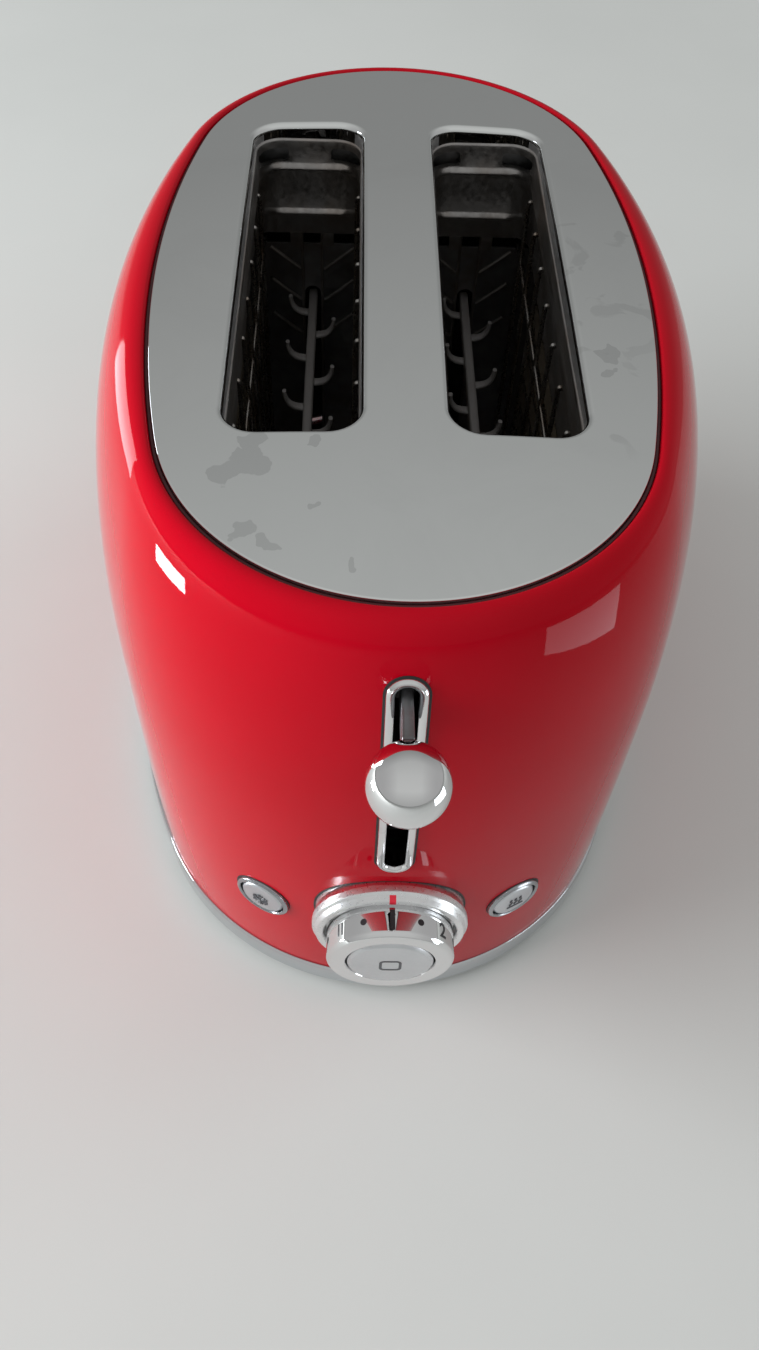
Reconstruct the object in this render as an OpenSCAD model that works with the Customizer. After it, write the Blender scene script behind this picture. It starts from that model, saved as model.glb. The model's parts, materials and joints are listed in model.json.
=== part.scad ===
// Two-slot pop-up toaster with a bellied enamel shell, a mirror top plate, a ball lever and a round dial.
// +Z is up, the lever end faces -Y, and the origin is at the centre of the bounding box's base.

/* [Body] */
// Width of the body at its widest
body_w = 192; // [180:1:205]
// Length of the body at its widest
body_l = 286; // [270:1:300]
// Radius of the rounded ends in plan
end_r = 84; // [78:1:90]
// Height of the top plate's crown above the table
plate_top_z = 196; // [190:1:204]
// Thickness of the shell's sheet
wall = 1.2; // [0.8:0.1:2]
// Height where the shell starts
shell_z = 14; // [12:1:18]
// Height where the body is widest
widest_z = 103; // [95:1:115]
// How far the ends tuck in at the foot
tuck = 3; // [0:0.5:5]

/* [Top] */
// Width of the opening in the shell's top
rim_w = 144.6; // [138:0.2:150]
// Length of the opening in the shell's top
rim_l = 254; // [246:1:260]
// Width of the black joint round the top plate
joint_w = 2.4; // [1.5:0.1:4]
// Distance of each bread slot's centre from the middle
slot_x = 29.3; // [28:0.1:31]
// Width of a bread slot over its lips
slot_w = 39.6; // [36:0.2:41]
// Length of a bread slot over its lips
slot_l = 156.8; // [150:0.2:160]
// How far the lips stand above the plate
lip_h = 1.8; // [1:0.1:3]

/* [Controls] */
// Travel of the lever
lever_travel = 64; // [50:1:66]
// Height of the lever's ball at rest
ball_z = 168; // [160:1:172]
// Radius of the lever's ball
ball_r = 10; // [8:0.5:12]
// Height of the dial's centre
dial_z = 65.2; // [60:0.2:70]
// Radius of the dial's bezel
bezel_r = 23.6; // [22:0.2:26]
// Radius of the dial
dial_r = 19.1; // [18:0.1:20]
// Radius of the stop button in the dial
stop_r = 12.9; // [11:0.1:13]
// Radius of the two side buttons
button_r = 7.4; // [6:0.1:8]
// Height of the two side buttons
button_z = 57; // [52:1:62]
// Angle between a side button and the middle of the end
button_angle = 28; // [24:0.5:32]

/* [Base] */
// Height of the rubber feet
foot_h = 4; // [3:0.5:6]
// Width of the crumb tray
tray_w = 106; // [96:1:112]

/* [Hidden] */
$fn = 64;

// Middle of the body, so that the lever's ball and the cord gland lie equally far from the origin
body_y = 10;
half_w = body_w / 2;
half_l = body_l / 2;
rim_half_w = rim_w / 2;
rim_half_l = rim_l / 2;
rim_end_r = 66;
rim_y = 1;
fine = 160;
// Hairline left between neighbouring pieces
gap = 0.2;
// Wall left out of the lever slot's trim where it passes through the shell
trim_neck = 1.1;
// Ribs, vents, rail windows, tabs and legs of the bulkheads
rib_z = [162, 172];
rib_r = 1.1;
rib_half_l = 15;
vent_z = 156;
vent_r = 1.8;
vent_dx = 14;
window_half_w = 22;
window_h = 4;
tab_half_w = 6;
tab_gap = 0.12;
leg_h = 26;
rack_play = 1.4;
// Details of the carriage
tongue_w = 12;
ear_half_w = 5;
bushing_low_z = 100;
bushing_h = 26;
bushing_r = 5;
keeper_w = 20;
keeper_l = 12;
keeper_t = 3;
finger_t = 2;
ball_collar_r = 5;
spring_wire = 1;
// Hub behind the dial's knob, and the stem of a side button
dial_hub_r = 8;
dial_hub_y = -145.8;
button_stem_r = 2;
// Screws and contacts
leg_screw_x = 62;
leg_screw_z = 12;
leg_screw_h = 2.4;
terminal_screw_r = 2.4;
terminal_wire_r = 1.8;
contact_foot_t = 2;
contact_foot_h = 12;
// Foot of the magnet's core
core_base_w = 24;
core_base_l = 14;
// Parts soldered to the control board
relay_size = [14, 9, 11];
relay_z = 36;
regulator_size = [9, 5, 7];
resistor_size = [20, 3, 6];
connector_size = [16, 10, 12];
connector_z = 76;
capacitor_x = [-24, -14];
capacitor_z = 84;
capacitor_r = 3.4;

// Crown of the top: how far it falls from the middle to the widest point of the body
crown_fall_l = 6.5;
crown_fall_w = 5.5;
crown_r_l = half_l * half_l / (2 * crown_fall_l);
crown_r_w = half_w * half_w / (2 * crown_fall_w);
crown_half_angle = 7;
crown_fn = 720;

// Shoulder of the shell, a superellipse from the widest ring to the rim
shoulder_p = 2.12;
shoulder_steps = 9;
side_steps = 3;
plan_side_steps = 4;
plan_end_steps = 10;

plate_t = 1;
skirt_depth = 12.5;
lip_t = 1.4;
lip_depth = 16;
gasket_low_z = 184.5;
gasket_h = 3.5;
slot_y = 6;
slot_corner_r = 9;
liner_t = 0.8;
liner_out = 0.6;
liner_bottom_z = 154;

ring_h = 10;
ring_step = 3;
ring_proud = 1.6;
pan_bottom_z = 3;
pan_floor_t = 2;
pan_wall_t = 2;
pan_inset = 2.6;
foot_r = 9;
foot_neck_r = 4;
foot_x = 58;
foot_y = 96;
screw_xy = [[72, 45], [72, -45], [40, 112], [40, -112]];
screw_r = 1.5;
screw_head_r = 3.2;
screw_head_z = 1.2;
boss_r = 4;
boss_h = 9;
rod_boss_r = 6;
rod_boss_h = 8;
magnet_seat_w = 28;
magnet_seat_l = 18;
magnet_seat_z = 14;

lever_slot_w = 10.4;
lever_slot_low_z = 95.6;
lever_slot_high_z = 177.2;
trim_t = 2.4;
trim_proud = 1.5;
trim_depth = 2.2;

bar_half_l = 40;
bar_low_z = 84;
bar_h = 12;
bar_proud = 1.8;
bar_corner_r = 5;

ball_y = -159;
arm_t = 3;
arm_h = 8;
arm_front_y = -151.5;
bracket_y = -92;
bracket_t = 1.6;
bracket_low_z = 98;
bracket_high_z = 128;
bracket_half_w = 43;

rod_r = 2.5;
rod_x = 22;
rod_y = -97;
rod_low_z = 6;
rod_top_z = 188;
running_fit = 0.04;
spring_x = 37;
spring_r = 3.5;
spring_top_z = 185;
ear_z = 108;
spring_low_z = ear_z + 2 + gap;

rack_z = 117;
rack_h = 6;
rack_t = 3.2;
rack_front_y = bracket_y + bracket_t;
rack_rear_y = 94;
finger_pitch = 14;
finger_reach = 9;
finger_rise = 5;
finger_count = 11;
finger_first_y = -57;

bulkhead_t = 1;
front_bulkhead_y = -77;
rear_bulkhead_y = 88;
chassis_low_z = 5;
chassis_high_z = 186;
bulkhead_half_w = 70;
bulkhead_top_half_w = 56;
shelf_half_w = 44;
shelf_reach = 26;

magnet_y = -105;
core_r = 4.5;
core_top_z = 39.7;
coil_r = 9.5;
coil_low_z = 17;
coil_high_z = 35;
coil_flange_t = 1.4;
keeper_z = core_top_z + lever_travel + 0.3;

board_y = -123.6;
board_t = 1.6;
board_low_z = 29;
board_high_z = 93;
board_half_w = 44;
board_screw_z = [board_low_z + 4, board_high_z - 4];
board_screw_head_r = 2.8;
post_x = 40;
post_w = 6;
pot_front_y = -134;
pot_r = 9;
switch_w = 6;
switch_face = -8.5;
contact_x = 31;
contact_w = 3;
contact_t = 0.8;
contact_y = [-116, -113];
contact_h = [46, 40];
shaft_r = 4.2;
shaft_bore_r = 2.8;
stem_r = 2.3;
stop_travel = 2;
stop_recess = 6;
button_travel = 1.6;
button_rise = 1.2;
button_skirt = 3;
button_bezel_lift = 0.35;
button_bezel_t = 0.9;
dial_face_y = -158;
dial_back_y = -147.4;
stop_face_y = -158.6;
bezel_front_y = -149;
bezel_step_y = -147;
bezel_floor_y = -145.4;
dial_hole_r = 10;

heater_x = 56;
heater_low_z = 38;
heater_high_z = 152;
heater_y = [front_bulkhead_y + bulkhead_t, rear_bulkhead_y];
ribbon_rows = 9;
ribbon_t = 0.4;
ribbon_h = 1.8;

guard_r = 0.8;
guard_inner_x = 13;
guard_outer_x = 46.8;
guard_low_z = 40;
guard_rails_z = [44, 148];
guard_top_z = 178;
guard_hook = 0.9;
guard_rail_reach = 3;
guard_count = 8;
guard_pitch = 20;
guard_first_y = -64;

tray_low_z = 16.5;
tray_t = 0.8;
tray_wall_h = 7;
tray_front_y = -72;
tray_mouth_low_z = 15.2;
tray_mouth_high_z = 26;
handle_low_z = 14.6;
handle_high_z = 27;
handle_half_w = 60;
handle_t = 3.6;
handle_lip_t = 3.4;
handle_lip_h = 3;
handle_clear = 1.3;
neck_half_w = 46;

gland_z = 48;
gland_bore_r = 3.6;
gland_r = 6;
gland_flange_r = 9.5;
gland_flange_t = 3;
gland_neck = 6;
gland_entry_r = 4.8;
gland_end_y = 149;

reflector_x = 63;
reflector_t = 0.8;
reflector_low_z = 32;
reflector_h = 130;
reflector_foot_w = 10;

terminal_half_w = 15;
terminal_l = 12.5;
terminal_h = 12;
terminal_z = 29;
terminal_pitch = 9;

// ---- Functions: a plan made of two end arcs and two side arcs that meet tangentially ----

// Radius of the side arcs of an oval with half width a, half length b and end radius r
function side_r(a, b, r) = (a * a + (b - r) * (b - r) - r * r) / (2 * (a - r));

// One quarter of the oval, from the side to the end
function quarter(a, b, r) =
    let (s = side_r(a, b, r), turn = atan2(b - r, s - a))
    concat(
        [for (i = [0 : plan_side_steps - 1])
            let (t = turn * i / plan_side_steps)
            [a - s + s * cos(t), s * sin(t)]],
        [for (i = [0 : plan_end_steps])
            let (t = turn + (90 - turn) * i / plan_end_steps)
            [r * cos(t), b - r + r * sin(t)]]);

// The whole oval, anticlockwise
function oval_points(a, b, r) =
    let (q = quarter(a, b, r), n = len(q))
    concat(
        [for (i = [0 : n - 1]) q[i]],
        [for (i = [n - 2 : -1 : 0]) [-q[i][0], q[i][1]]],
        [for (i = [1 : n - 1]) [-q[i][0], -q[i][1]]],
        [for (i = [n - 2 : -1 : 1]) [q[i][0], -q[i][1]]]);

// Height of the crowned top over a point in plan
function crown_z(x, y) =
    plate_top_z - crown_fall_l * pow(y / half_l, 2) - crown_fall_w * pow(x / half_w, 2);

// How far the end of the shell lies inside its widest place, at a height below widest_z
function tuck_at(z) = tuck * pow(1 - (z - shell_z) / (widest_z - shell_z), 2);

// Where the cord gland's flange meets the shell
gland_seat_y = half_l - tuck_at(gland_z + gland_flange_r);

// Ring of the shell's skin at a fraction of the way from its foot to its widest height
function side_ring(skin, f) =
    let (b = half_l - tuck * pow(1 - f, 2))
    [for (p = oval_points(half_w - skin, b - skin, end_r - skin))
        [p[0], p[1], shell_z + (widest_z - shell_z) * f]];

// Ring of the shell's skin at an angle of the shoulder, from 0 at the widest height to 90 at the rim
function shoulder_ring(skin, angle) =
    let (outer = oval_points(half_w - skin, half_l - skin, end_r - skin),
        inner = oval_points(rim_half_w, rim_half_l, rim_end_r),
        c = pow(cos(angle), 2 / shoulder_p),
        s = pow(sin(angle), 2 / shoulder_p))
    [for (i = [0 : len(outer) - 1])
        let (q = inner[i] + [0, rim_y], p = q + (outer[i] - q) * c)
        [p[0], p[1], widest_z + (crown_z(q[0], q[1]) - skin - widest_z) * s]];

// All rings of a skin, from the foot to the rim
function skin_rings(skin) = concat(
    [for (i = [0 : side_steps]) side_ring(skin, i / side_steps)],
    [for (i = [1 : shoulder_steps]) shoulder_ring(skin, 90 * i / shoulder_steps)]);

function flat(list) = [for (a = list) for (b = a) b];

// ---- Helpers ----

// Everything is drawn about the body's middle and placed here
module placed() {
    translate([0, body_y, 0]) children();
}

// Mirrored in X where side is negative
module facing(side) {
    if (side < 0) mirror([1, 0, 0]) children();
    else children();
}

// Flat oval with true arcs
module oval(a, b, r) {
    s = side_r(a, b, r);
    turn = atan2(b - r, s - a);
    tangent_y = s * sin(turn);
    intersection() {
        translate([a - s, 0]) circle(s, $fn = crown_fn);
        translate([s - a, 0]) circle(s, $fn = crown_fn);
        translate([-a, -tangent_y]) square([2 * a, 2 * tangent_y]);
    }
    for (end = [-1, 1]) translate([0, end * (b - r)]) circle(r, $fn = fine);
}

module body_oval(inset) {
    oval(half_w - inset, half_l - inset, end_r - inset);
}

module foot_oval(inset) {
    oval(half_w - inset, half_l - tuck - inset, end_r - inset);
}

module rim_oval(inset) {
    translate([0, rim_y]) oval(rim_half_w - inset, rim_half_l - inset, rim_end_r - inset);
}

module rounded_square(w, l, r) {
    square([w - 2 * r, l], center = true);
    square([w, l - 2 * r], center = true);
    for (x = [-1, 1]) {
        for (y = [-1, 1]) {
            translate([x * (w / 2 - r), y * (l / 2 - r)]) circle(r);
        }
    }
}

// Solid under a crowned surface whose highest point is at height top
module crown(top) {
    translate([0, 0, top - crown_r_l])
        rotate([0, 90, 0])
        rotate([0, 0, 180 - crown_half_angle])
        rotate_extrude(angle = 2 * crown_half_angle, $fn = crown_fn)
        intersection() {
            translate([crown_r_l - crown_r_w, 0]) circle(crown_r_w, $fn = crown_fn);
            translate([crown_r_l - 60, -90]) square([61, 180]);
        }
}

// Closed solid bounded by the shell's skin
module skin_solid(skin) {
    rings = skin_rings(skin);
    n = len(rings[0]);
    last = len(rings) - 1;
    polyhedron(
        points = flat(rings),
        faces = concat(
            [[for (i = [0 : n - 1]) i]],
            [[for (i = [n - 1 : -1 : 0]) last * n + i]],
            flat([for (k = [0 : last - 1]) [for (i = [0 : n - 1])
                [k * n + i, (k + 1) * n + i, k * n + (i + 1) % n]]]),
            flat([for (k = [0 : last - 1]) [for (i = [0 : n - 1])
                [k * n + (i + 1) % n, (k + 1) * n + i, (k + 1) * n + (i + 1) % n]]])));
}

// Sheet between the outer and the inner skin, open at the foot and at the rim
module skin_sheet() {
    rings = concat(
        skin_rings(0),
        [for (i = [shoulder_steps + side_steps : -1 : 0]) skin_rings(wall)[i]]);
    n = len(rings[0]);
    m = len(rings);
    polyhedron(
        points = flat(rings),
        faces = concat(
            flat([for (k = [0 : m - 1]) [for (i = [0 : n - 1])
                [k * n + i, ((k + 1) % m) * n + i, k * n + (i + 1) % n]]]),
            flat([for (k = [0 : m - 1]) [for (i = [0 : n - 1])
                [k * n + (i + 1) % n, ((k + 1) % m) * n + i, ((k + 1) % m) * n + (i + 1) % n]]])));
}

// Upright slot with round ends, cut along Y
module upright_slot(w, low, high, from_y, to_y) {
    r = w / 2;
    translate([0, to_y, 0]) rotate([90, 0, 0]) linear_extrude(to_y - from_y) {
        translate([-r, low + r]) square([w, high - low - w]);
        translate([0, low + r]) circle(r);
        translate([0, high - r]) circle(r);
    }
}

// Solid cylinder along Y between two places
module rod_y(x, z, r, from_y, to_y) {
    translate([x, to_y, z]) rotate([90, 0, 0]) cylinder(r = r, h = to_y - from_y);
}

module tube_y(z, r, bore, from_y, to_y) {
    difference() {
        rod_y(0, z, r, from_y, to_y);
        rod_y(0, z, bore, from_y - 1, to_y + 1);
    }
}

// Moves to a side button's seat: +Z then points out of the shell
module button_seat(side) {
    seat = half_l - tuck_at(button_z) - end_r;
    translate([0, -seat, button_z])
        rotate([0, 0, side * button_angle])
        translate([0, -end_r, 0])
        rotate([90, 0, 0])
        children();
}

// ---- Outer pieces ----

module body_shell() placed() color("firebrick") difference() {
    skin_sheet();
    upright_slot(lever_slot_w - 2, lever_slot_low_z + 1, lever_slot_high_z - 1, -160, -120);
    rod_y(0, dial_z, dial_hole_r, -160, -130);
    for (side = [-1, 1]) button_seat(side) translate([0, 0, -8]) cylinder(r = button_r + 1.2, h = 16);
    translate([-tray_w / 2 - 2, 60, tray_mouth_low_z])
        cube([tray_w + 4, 100, tray_mouth_high_z - tray_mouth_low_z]);
    rod_y(0, gland_z, gland_r, 130, 160);
}

// Slot lips: rounded rings that stand up from the plate and run down inside it
module lip_ring(inset) {
    translate([0, slot_y]) rounded_square(slot_w - 2 * inset, slot_l - 2 * inset, slot_corner_r - inset);
}

module top_plate() placed() color("silver") {
    difference() {
        intersection() {
            crown(plate_top_z);
            translate([0, 0, plate_top_z - skirt_depth]) linear_extrude(30) rim_oval(joint_w);
        }
        intersection() {
            crown(plate_top_z - plate_t);
            translate([0, 0, plate_top_z - 30]) linear_extrude(40) rim_oval(joint_w + plate_t);
        }
        for (side = [-1, 1]) {
            translate([side * slot_x, 0, plate_top_z - 30]) linear_extrude(60) lip_ring(0);
        }
    }
}

// Raised frame of a bread slot, standing in the plate's opening and reaching down inside it
module slot_collar(side) placed() color("silver") translate([side * slot_x, 0, 0]) difference() {
    intersection() {
        translate([-side * slot_x, 0, 0]) crown(plate_top_z + lip_h);
        translate([0, 0, plate_top_z - lip_depth]) linear_extrude(40) lip_ring(0);
    }
    translate([0, 0, plate_top_z - 40]) linear_extrude(80) lip_ring(lip_t);
}

module left_slot_collar() slot_collar(-1);

module right_slot_collar() slot_collar(1);

module top_gasket() placed() color("black") difference() {
    translate([0, 0, gasket_low_z]) linear_extrude(gasket_h) rim_oval(gap);
    translate([0, 0, gasket_low_z - 1]) linear_extrude(gasket_h + 2) rim_oval(joint_w - gap);
}

module base_ring() placed() color("silver") difference() {
    union() {
        translate([0, 0, shell_z - ring_h]) linear_extrude(ring_h - ring_step) foot_oval(-ring_proud);
        translate([0, 0, shell_z - ring_step]) linear_extrude(ring_step - gap) foot_oval(0.4 - ring_proud);
    }
    linear_extrude(40) foot_oval(pan_inset - gap);
}

module base_pan() placed() color("black") difference() {
    union() {
        difference() {
            translate([0, 0, pan_bottom_z]) linear_extrude(shell_z - pan_bottom_z - 1) foot_oval(pan_inset);
            translate([0, 0, pan_bottom_z + pan_floor_t])
                linear_extrude(40) foot_oval(pan_inset + pan_wall_t);
        }
        for (p = screw_xy) for (side = [-1, 1])
            translate([side * p[0], p[1], pan_bottom_z]) cylinder(r = boss_r, h = boss_h);
        for (side = [-1, 1])
            translate([side * rod_x, rod_y, pan_bottom_z]) cylinder(r = rod_boss_r, h = rod_boss_h);
        translate([-magnet_seat_w / 2, magnet_y - magnet_seat_l / 2, pan_bottom_z])
            cube([magnet_seat_w, magnet_seat_l, magnet_seat_z - pan_bottom_z]);
    }
    for (p = screw_xy) for (side = [-1, 1])
        translate([side * p[0], p[1], 0]) cylinder(r = screw_r + 0.1, h = 40);
    for (side = [-1, 1]) translate([side * rod_x, rod_y, rod_low_z]) cylinder(r = rod_r, h = 20);
    for (sx = [-1, 1]) for (sy = [-1, 1])
        translate([sx * foot_x, sy * foot_y, 0]) cylinder(r = foot_neck_r + 0.1, h = foot_h + gap);
}

// Posts on the pan's floor that the control board is screwed to
module board_posts() placed() color("black") difference() {
    for (side = [-1, 1])
        translate([side * post_x - post_w / 2, board_y + board_t, pan_bottom_z + pan_floor_t])
            cube([post_w, post_w, board_high_z - pan_bottom_z - pan_floor_t]);
    for (side = [-1, 1]) for (z = board_screw_z) rod_y(side * post_x, z, screw_r, board_y, board_y + 20);
}

module feet() placed() color("dimgray") {
    for (sx = [-1, 1]) for (sy = [-1, 1]) translate([sx * foot_x, sy * foot_y, 0]) {
        cylinder(r = foot_r, h = pan_bottom_z);
        translate([0, 0, pan_bottom_z]) cylinder(r = foot_neck_r, h = foot_h - pan_bottom_z);
    }
}

module base_screws() placed() color("gray") {
    for (p = screw_xy) for (side = [-1, 1]) translate([side * p[0], p[1], 0]) {
        translate([0, 0, screw_head_z]) cylinder(r = screw_head_r, h = pan_bottom_z - screw_head_z);
        translate([0, 0, pan_bottom_z]) cylinder(r = screw_r, h = boss_h - 1);
    }
}

module lever_slot_trim() placed() color("silver") difference() {
    intersection() {
        skin_solid(-trim_proud);
        upright_slot(lever_slot_w, lever_slot_low_z, lever_slot_high_z, -160, -115);
    }
    skin_solid(trim_depth);
    upright_slot(lever_slot_w - 2 * trim_t, lever_slot_low_z + trim_t, lever_slot_high_z - trim_t,
        -170, -110);
    // the part inside the shell's cut-out is narrower than the flange outside
    difference() {
        intersection() {
            skin_solid(-gap / 2);
            translate([-20, -170, 80]) cube([40, 60, 110]);
        }
        upright_slot(lever_slot_w - 2 * trim_neck, lever_slot_low_z + trim_neck,
            lever_slot_high_z - trim_neck, -170, -110);
    }
}

// Plain bar on the side of the shell, following its curve
module side_bar() placed() color("silver") {
    r = side_r(half_w, half_l, end_r);
    intersection() {
        translate([half_w - r, 0, bar_low_z]) difference() {
            cylinder(r = r + bar_proud, h = bar_h, $fn = crown_fn);
            translate([0, 0, -1]) cylinder(r = r + 0.05, h = bar_h + 2, $fn = crown_fn);
        }
        translate([half_w / 2, 0, bar_low_z + bar_h / 2]) rotate([0, 90, 0])
            linear_extrude(half_w) rounded_square(bar_h, 2 * bar_half_l, bar_corner_r);
    }
}

module left_side_bar() mirror([1, 0, 0]) side_bar();

module right_side_bar() side_bar();

// Ring whose back lies on the shell, with a floor behind the dial and a neck through the shell's hole
module dial_bezel() placed() color("lightgray") difference() {
    union() {
        difference() {
            union() {
                rod_y(0, dial_z, bezel_r, bezel_step_y, bezel_step_y + 12);
                rod_y(0, dial_z, bezel_r - 1.4, bezel_front_y, bezel_step_y);
            }
            skin_solid(0);
        }
        rod_y(0, dial_z, dial_hole_r - 0.4, bezel_step_y, -138);
    }
    rod_y(0, dial_z, dial_r + 0.5, -170, bezel_floor_y);
    rod_y(0, dial_z, shaft_r + 1, -170, -130);
}

module dial_index() placed() color("red")
    translate([-0.9, bezel_front_y - 0.4, dial_z + dial_r + 0.7]) cube([1.8, 0.4, 2.3]);

module button_bezel(side) placed() color("silver") button_seat(side) difference() {
    union() {
        translate([0, 0, -4]) cylinder(r = button_r + 1, h = 4 + button_bezel_lift);
        translate([0, 0, button_bezel_lift]) cylinder(r = button_r + 1.6, h = button_bezel_t);
    }
    translate([0, 0, -6]) cylinder(r = button_r + 0.3, h = 12);
}

module left_button_bezel() button_bezel(-1);

module right_button_bezel() button_bezel(1);

// Flanged sleeve: wide where it passes through the shell, and narrow outside it
module cord_gland() placed() color("black") difference() {
    union() {
        rod_y(0, gland_z, gland_r - 0.1, gland_seat_y - gland_neck, gland_seat_y);
        rod_y(0, gland_z, gland_flange_r, gland_seat_y, gland_seat_y + gland_flange_t);
        rod_y(0, gland_z, gland_r - 0.1, gland_seat_y + gland_flange_t, gland_end_y);
    }
    rod_y(0, gland_z, gland_bore_r, gland_seat_y, gland_end_y + 1);
    rod_y(0, gland_z, gland_entry_r, gland_seat_y - gland_neck - 1, gland_seat_y + 1);
}

// ---- Chassis ----

module bulkhead_outline() {
    polygon([[-bulkhead_half_w, 30], [bulkhead_half_w, 30], [bulkhead_half_w, 158],
        [bulkhead_top_half_w, chassis_high_z], [-bulkhead_top_half_w, chassis_high_z],
        [-bulkhead_half_w, 158]]);
}

// Upright sheet with two rack slots and pressed ribs
module bulkhead_sheet(y) {
    difference() {
        union() {
            translate([0, y + bulkhead_t, 0]) rotate([90, 0, 0])
                linear_extrude(bulkhead_t) bulkhead_outline();
            for (side = [-1, 1]) for (z = rib_z) {
                translate([side * slot_x - rib_half_l, y + bulkhead_t / 2, z])
                    rotate([0, 90, 0]) cylinder(r = rib_r, h = 2 * rib_half_l);
            }
        }
        for (side = [-1, 1]) translate([side * slot_x, 0, 0])
            upright_slot(rack_t + 2 * rack_play, rack_z - lever_travel - 5, rack_z + rack_h + 5,
                y - 5, y + 5);
        for (side = [-1, 1]) for (dx = [-vent_dx, vent_dx])
            rod_y(side * slot_x + dx, vent_z, vent_r, y - 5, y + 5);
        // windows that the guard rails slide in
        for (side = [-1, 1]) for (z = guard_rails_z) {
            translate([side * slot_x - window_half_w, y - 5, z - window_h / 2])
                cube([2 * window_half_w, 10, window_h]);
        }
    }
}

// Tab between the bread slots that the top plate rests on
module plate_tab(y) {
    top_z = crown_z(tab_half_w, abs(y) + bulkhead_t) - plate_t - tab_gap;
    translate([-tab_half_w, y, chassis_high_z - 1])
        cube([2 * tab_half_w, bulkhead_t, top_z - chassis_high_z + 1]);
}

// Pair of feet that a bulkhead stands on
module bulkhead_legs(x, w, y) {
    for (side = [-1, 1]) translate([side * x - w / 2, y, chassis_low_z]) cube([w, bulkhead_t, leg_h]);
}

module front_bulkhead() placed() color("lightsteelblue") union() {
    bulkhead_sheet(front_bulkhead_y);
    bulkhead_legs(60, 16, front_bulkhead_y);
    translate([0, front_bulkhead_y, chassis_high_z - bulkhead_t]) difference() {
        translate([-shelf_half_w, -shelf_reach, 0])
            cube([2 * shelf_half_w, shelf_reach + bulkhead_t, bulkhead_t]);
        for (side = [-1, 1]) {
            translate([side * rod_x, rod_y - front_bulkhead_y, -1]) cylinder(r = rod_r, h = 4);
        }
    }
    plate_tab(front_bulkhead_y);
}

module rear_bulkhead() placed() color("lightsteelblue") union() {
    bulkhead_sheet(rear_bulkhead_y);
    bulkhead_legs(63, 12, rear_bulkhead_y);
    translate([-terminal_half_w - 3, rear_bulkhead_y, terminal_z - bulkhead_t])
        cube([2 * terminal_half_w + 6, terminal_l + 1.5, bulkhead_t]);
    plate_tab(rear_bulkhead_y);
}

module reflector(side) placed() color("gainsboro") {
    length = rear_bulkhead_y - front_bulkhead_y - bulkhead_t;
    translate([side * reflector_x - reflector_t / 2, front_bulkhead_y + bulkhead_t, reflector_low_z])
        cube([reflector_t, length, reflector_h]);
    translate([side * (reflector_x - reflector_foot_w / 2) - reflector_foot_w / 2,
        front_bulkhead_y + bulkhead_t, reflector_low_z - reflector_t])
        cube([reflector_foot_w, length, reflector_t]);
}

module left_reflector() reflector(-1);

module right_reflector() reflector(1);

module slot_liner(side) placed() color("dimgray") translate([side * slot_x, 0, liner_bottom_z])
    difference() {
        linear_extrude(plate_top_z - lip_depth - liner_bottom_z) lip_ring(-liner_out);
        translate([0, 0, -1]) linear_extrude(80) lip_ring(liner_t - liner_out);
    }

module left_slot_liner() slot_liner(-1);

module right_slot_liner() slot_liner(1);

module heater_board(x) placed() color("tan")
    translate([x - 0.5, heater_y[0], heater_low_z])
    cube([1, heater_y[1] - heater_y[0], heater_high_z - heater_low_z]);

module left_heater_board() heater_board(-heater_x);

module centre_heater_board() heater_board(0);

module right_heater_board() heater_board(heater_x);

module heating_ribbons() placed() color("darkgoldenrod") {
    pitch = (heater_high_z - heater_low_z - 14) / (ribbon_rows - 1);
    for (face = [[-heater_x, 1], [0, -1], [0, 1], [heater_x, -1]]) {
        for (row = [0 : ribbon_rows - 1]) {
            translate([face[0] + face[1] * (0.5 + ribbon_t / 2) - ribbon_t / 2, heater_y[0] + 8,
                heater_low_z + 6 + row * pitch])
                cube([ribbon_t, heater_y[1] - heater_y[0] - 16, ribbon_h]);
        }
    }
}

module guide_rods() placed() color("silver") {
    for (side = [-1, 1]) translate([side * rod_x, rod_y, rod_low_z])
        cylinder(r = rod_r, h = rod_top_z - rod_low_z);
}

module magnet_core() placed() color("gray") union() {
    translate([0, magnet_y, magnet_seat_z]) cylinder(r = core_r, h = core_top_z - magnet_seat_z);
    translate([-core_base_w / 2, magnet_y - core_base_l / 2, magnet_seat_z])
        cube([core_base_w, core_base_l, coil_low_z - magnet_seat_z]);
}

module magnet_coil() placed() color("peru") translate([0, magnet_y, 0]) difference() {
    union() {
        translate([0, 0, coil_low_z]) cylinder(r = coil_r, h = coil_flange_t);
        translate([0, 0, coil_low_z + coil_flange_t])
            cylinder(r = coil_r - 1.5, h = coil_high_z - coil_low_z - 2 * coil_flange_t);
        translate([0, 0, coil_high_z - coil_flange_t]) cylinder(r = coil_r, h = coil_flange_t);
    }
    cylinder(r = core_r + 0.1, h = 60);
}

module control_board() placed() color("darkgreen") difference() {
    translate([-board_half_w, board_y, board_low_z])
        cube([2 * board_half_w, board_t, board_high_z - board_low_z]);
    rod_y(0, dial_z, stem_r + 1, board_y - 5, board_y + 5);
    for (side = [-1, 1]) for (z = board_screw_z) {
        rod_y(side * post_x, z, screw_r + 0.1, board_y - 5, board_y + 5);
    }
}

// Relay, regulator, resistor block, two capacitors and a connector
module board_parts() placed() color("dimgray") {
    translate([-30, board_y - relay_size[1], relay_z]) cube(relay_size);
    translate([18, board_y - regulator_size[1], relay_z]) cube(regulator_size);
    translate([-8, board_y - resistor_size[1], capacitor_z]) cube(resistor_size);
    for (x = capacitor_x) rod_y(x, capacitor_z, capacitor_r, board_y - relay_size[1], board_y);
    translate([20, board_y + board_t, connector_z]) cube(connector_size);
}

module potentiometer() placed() color("slategray")
    tube_y(dial_z, pot_r, shaft_r + 0.1, pot_front_y, board_y);

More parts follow.
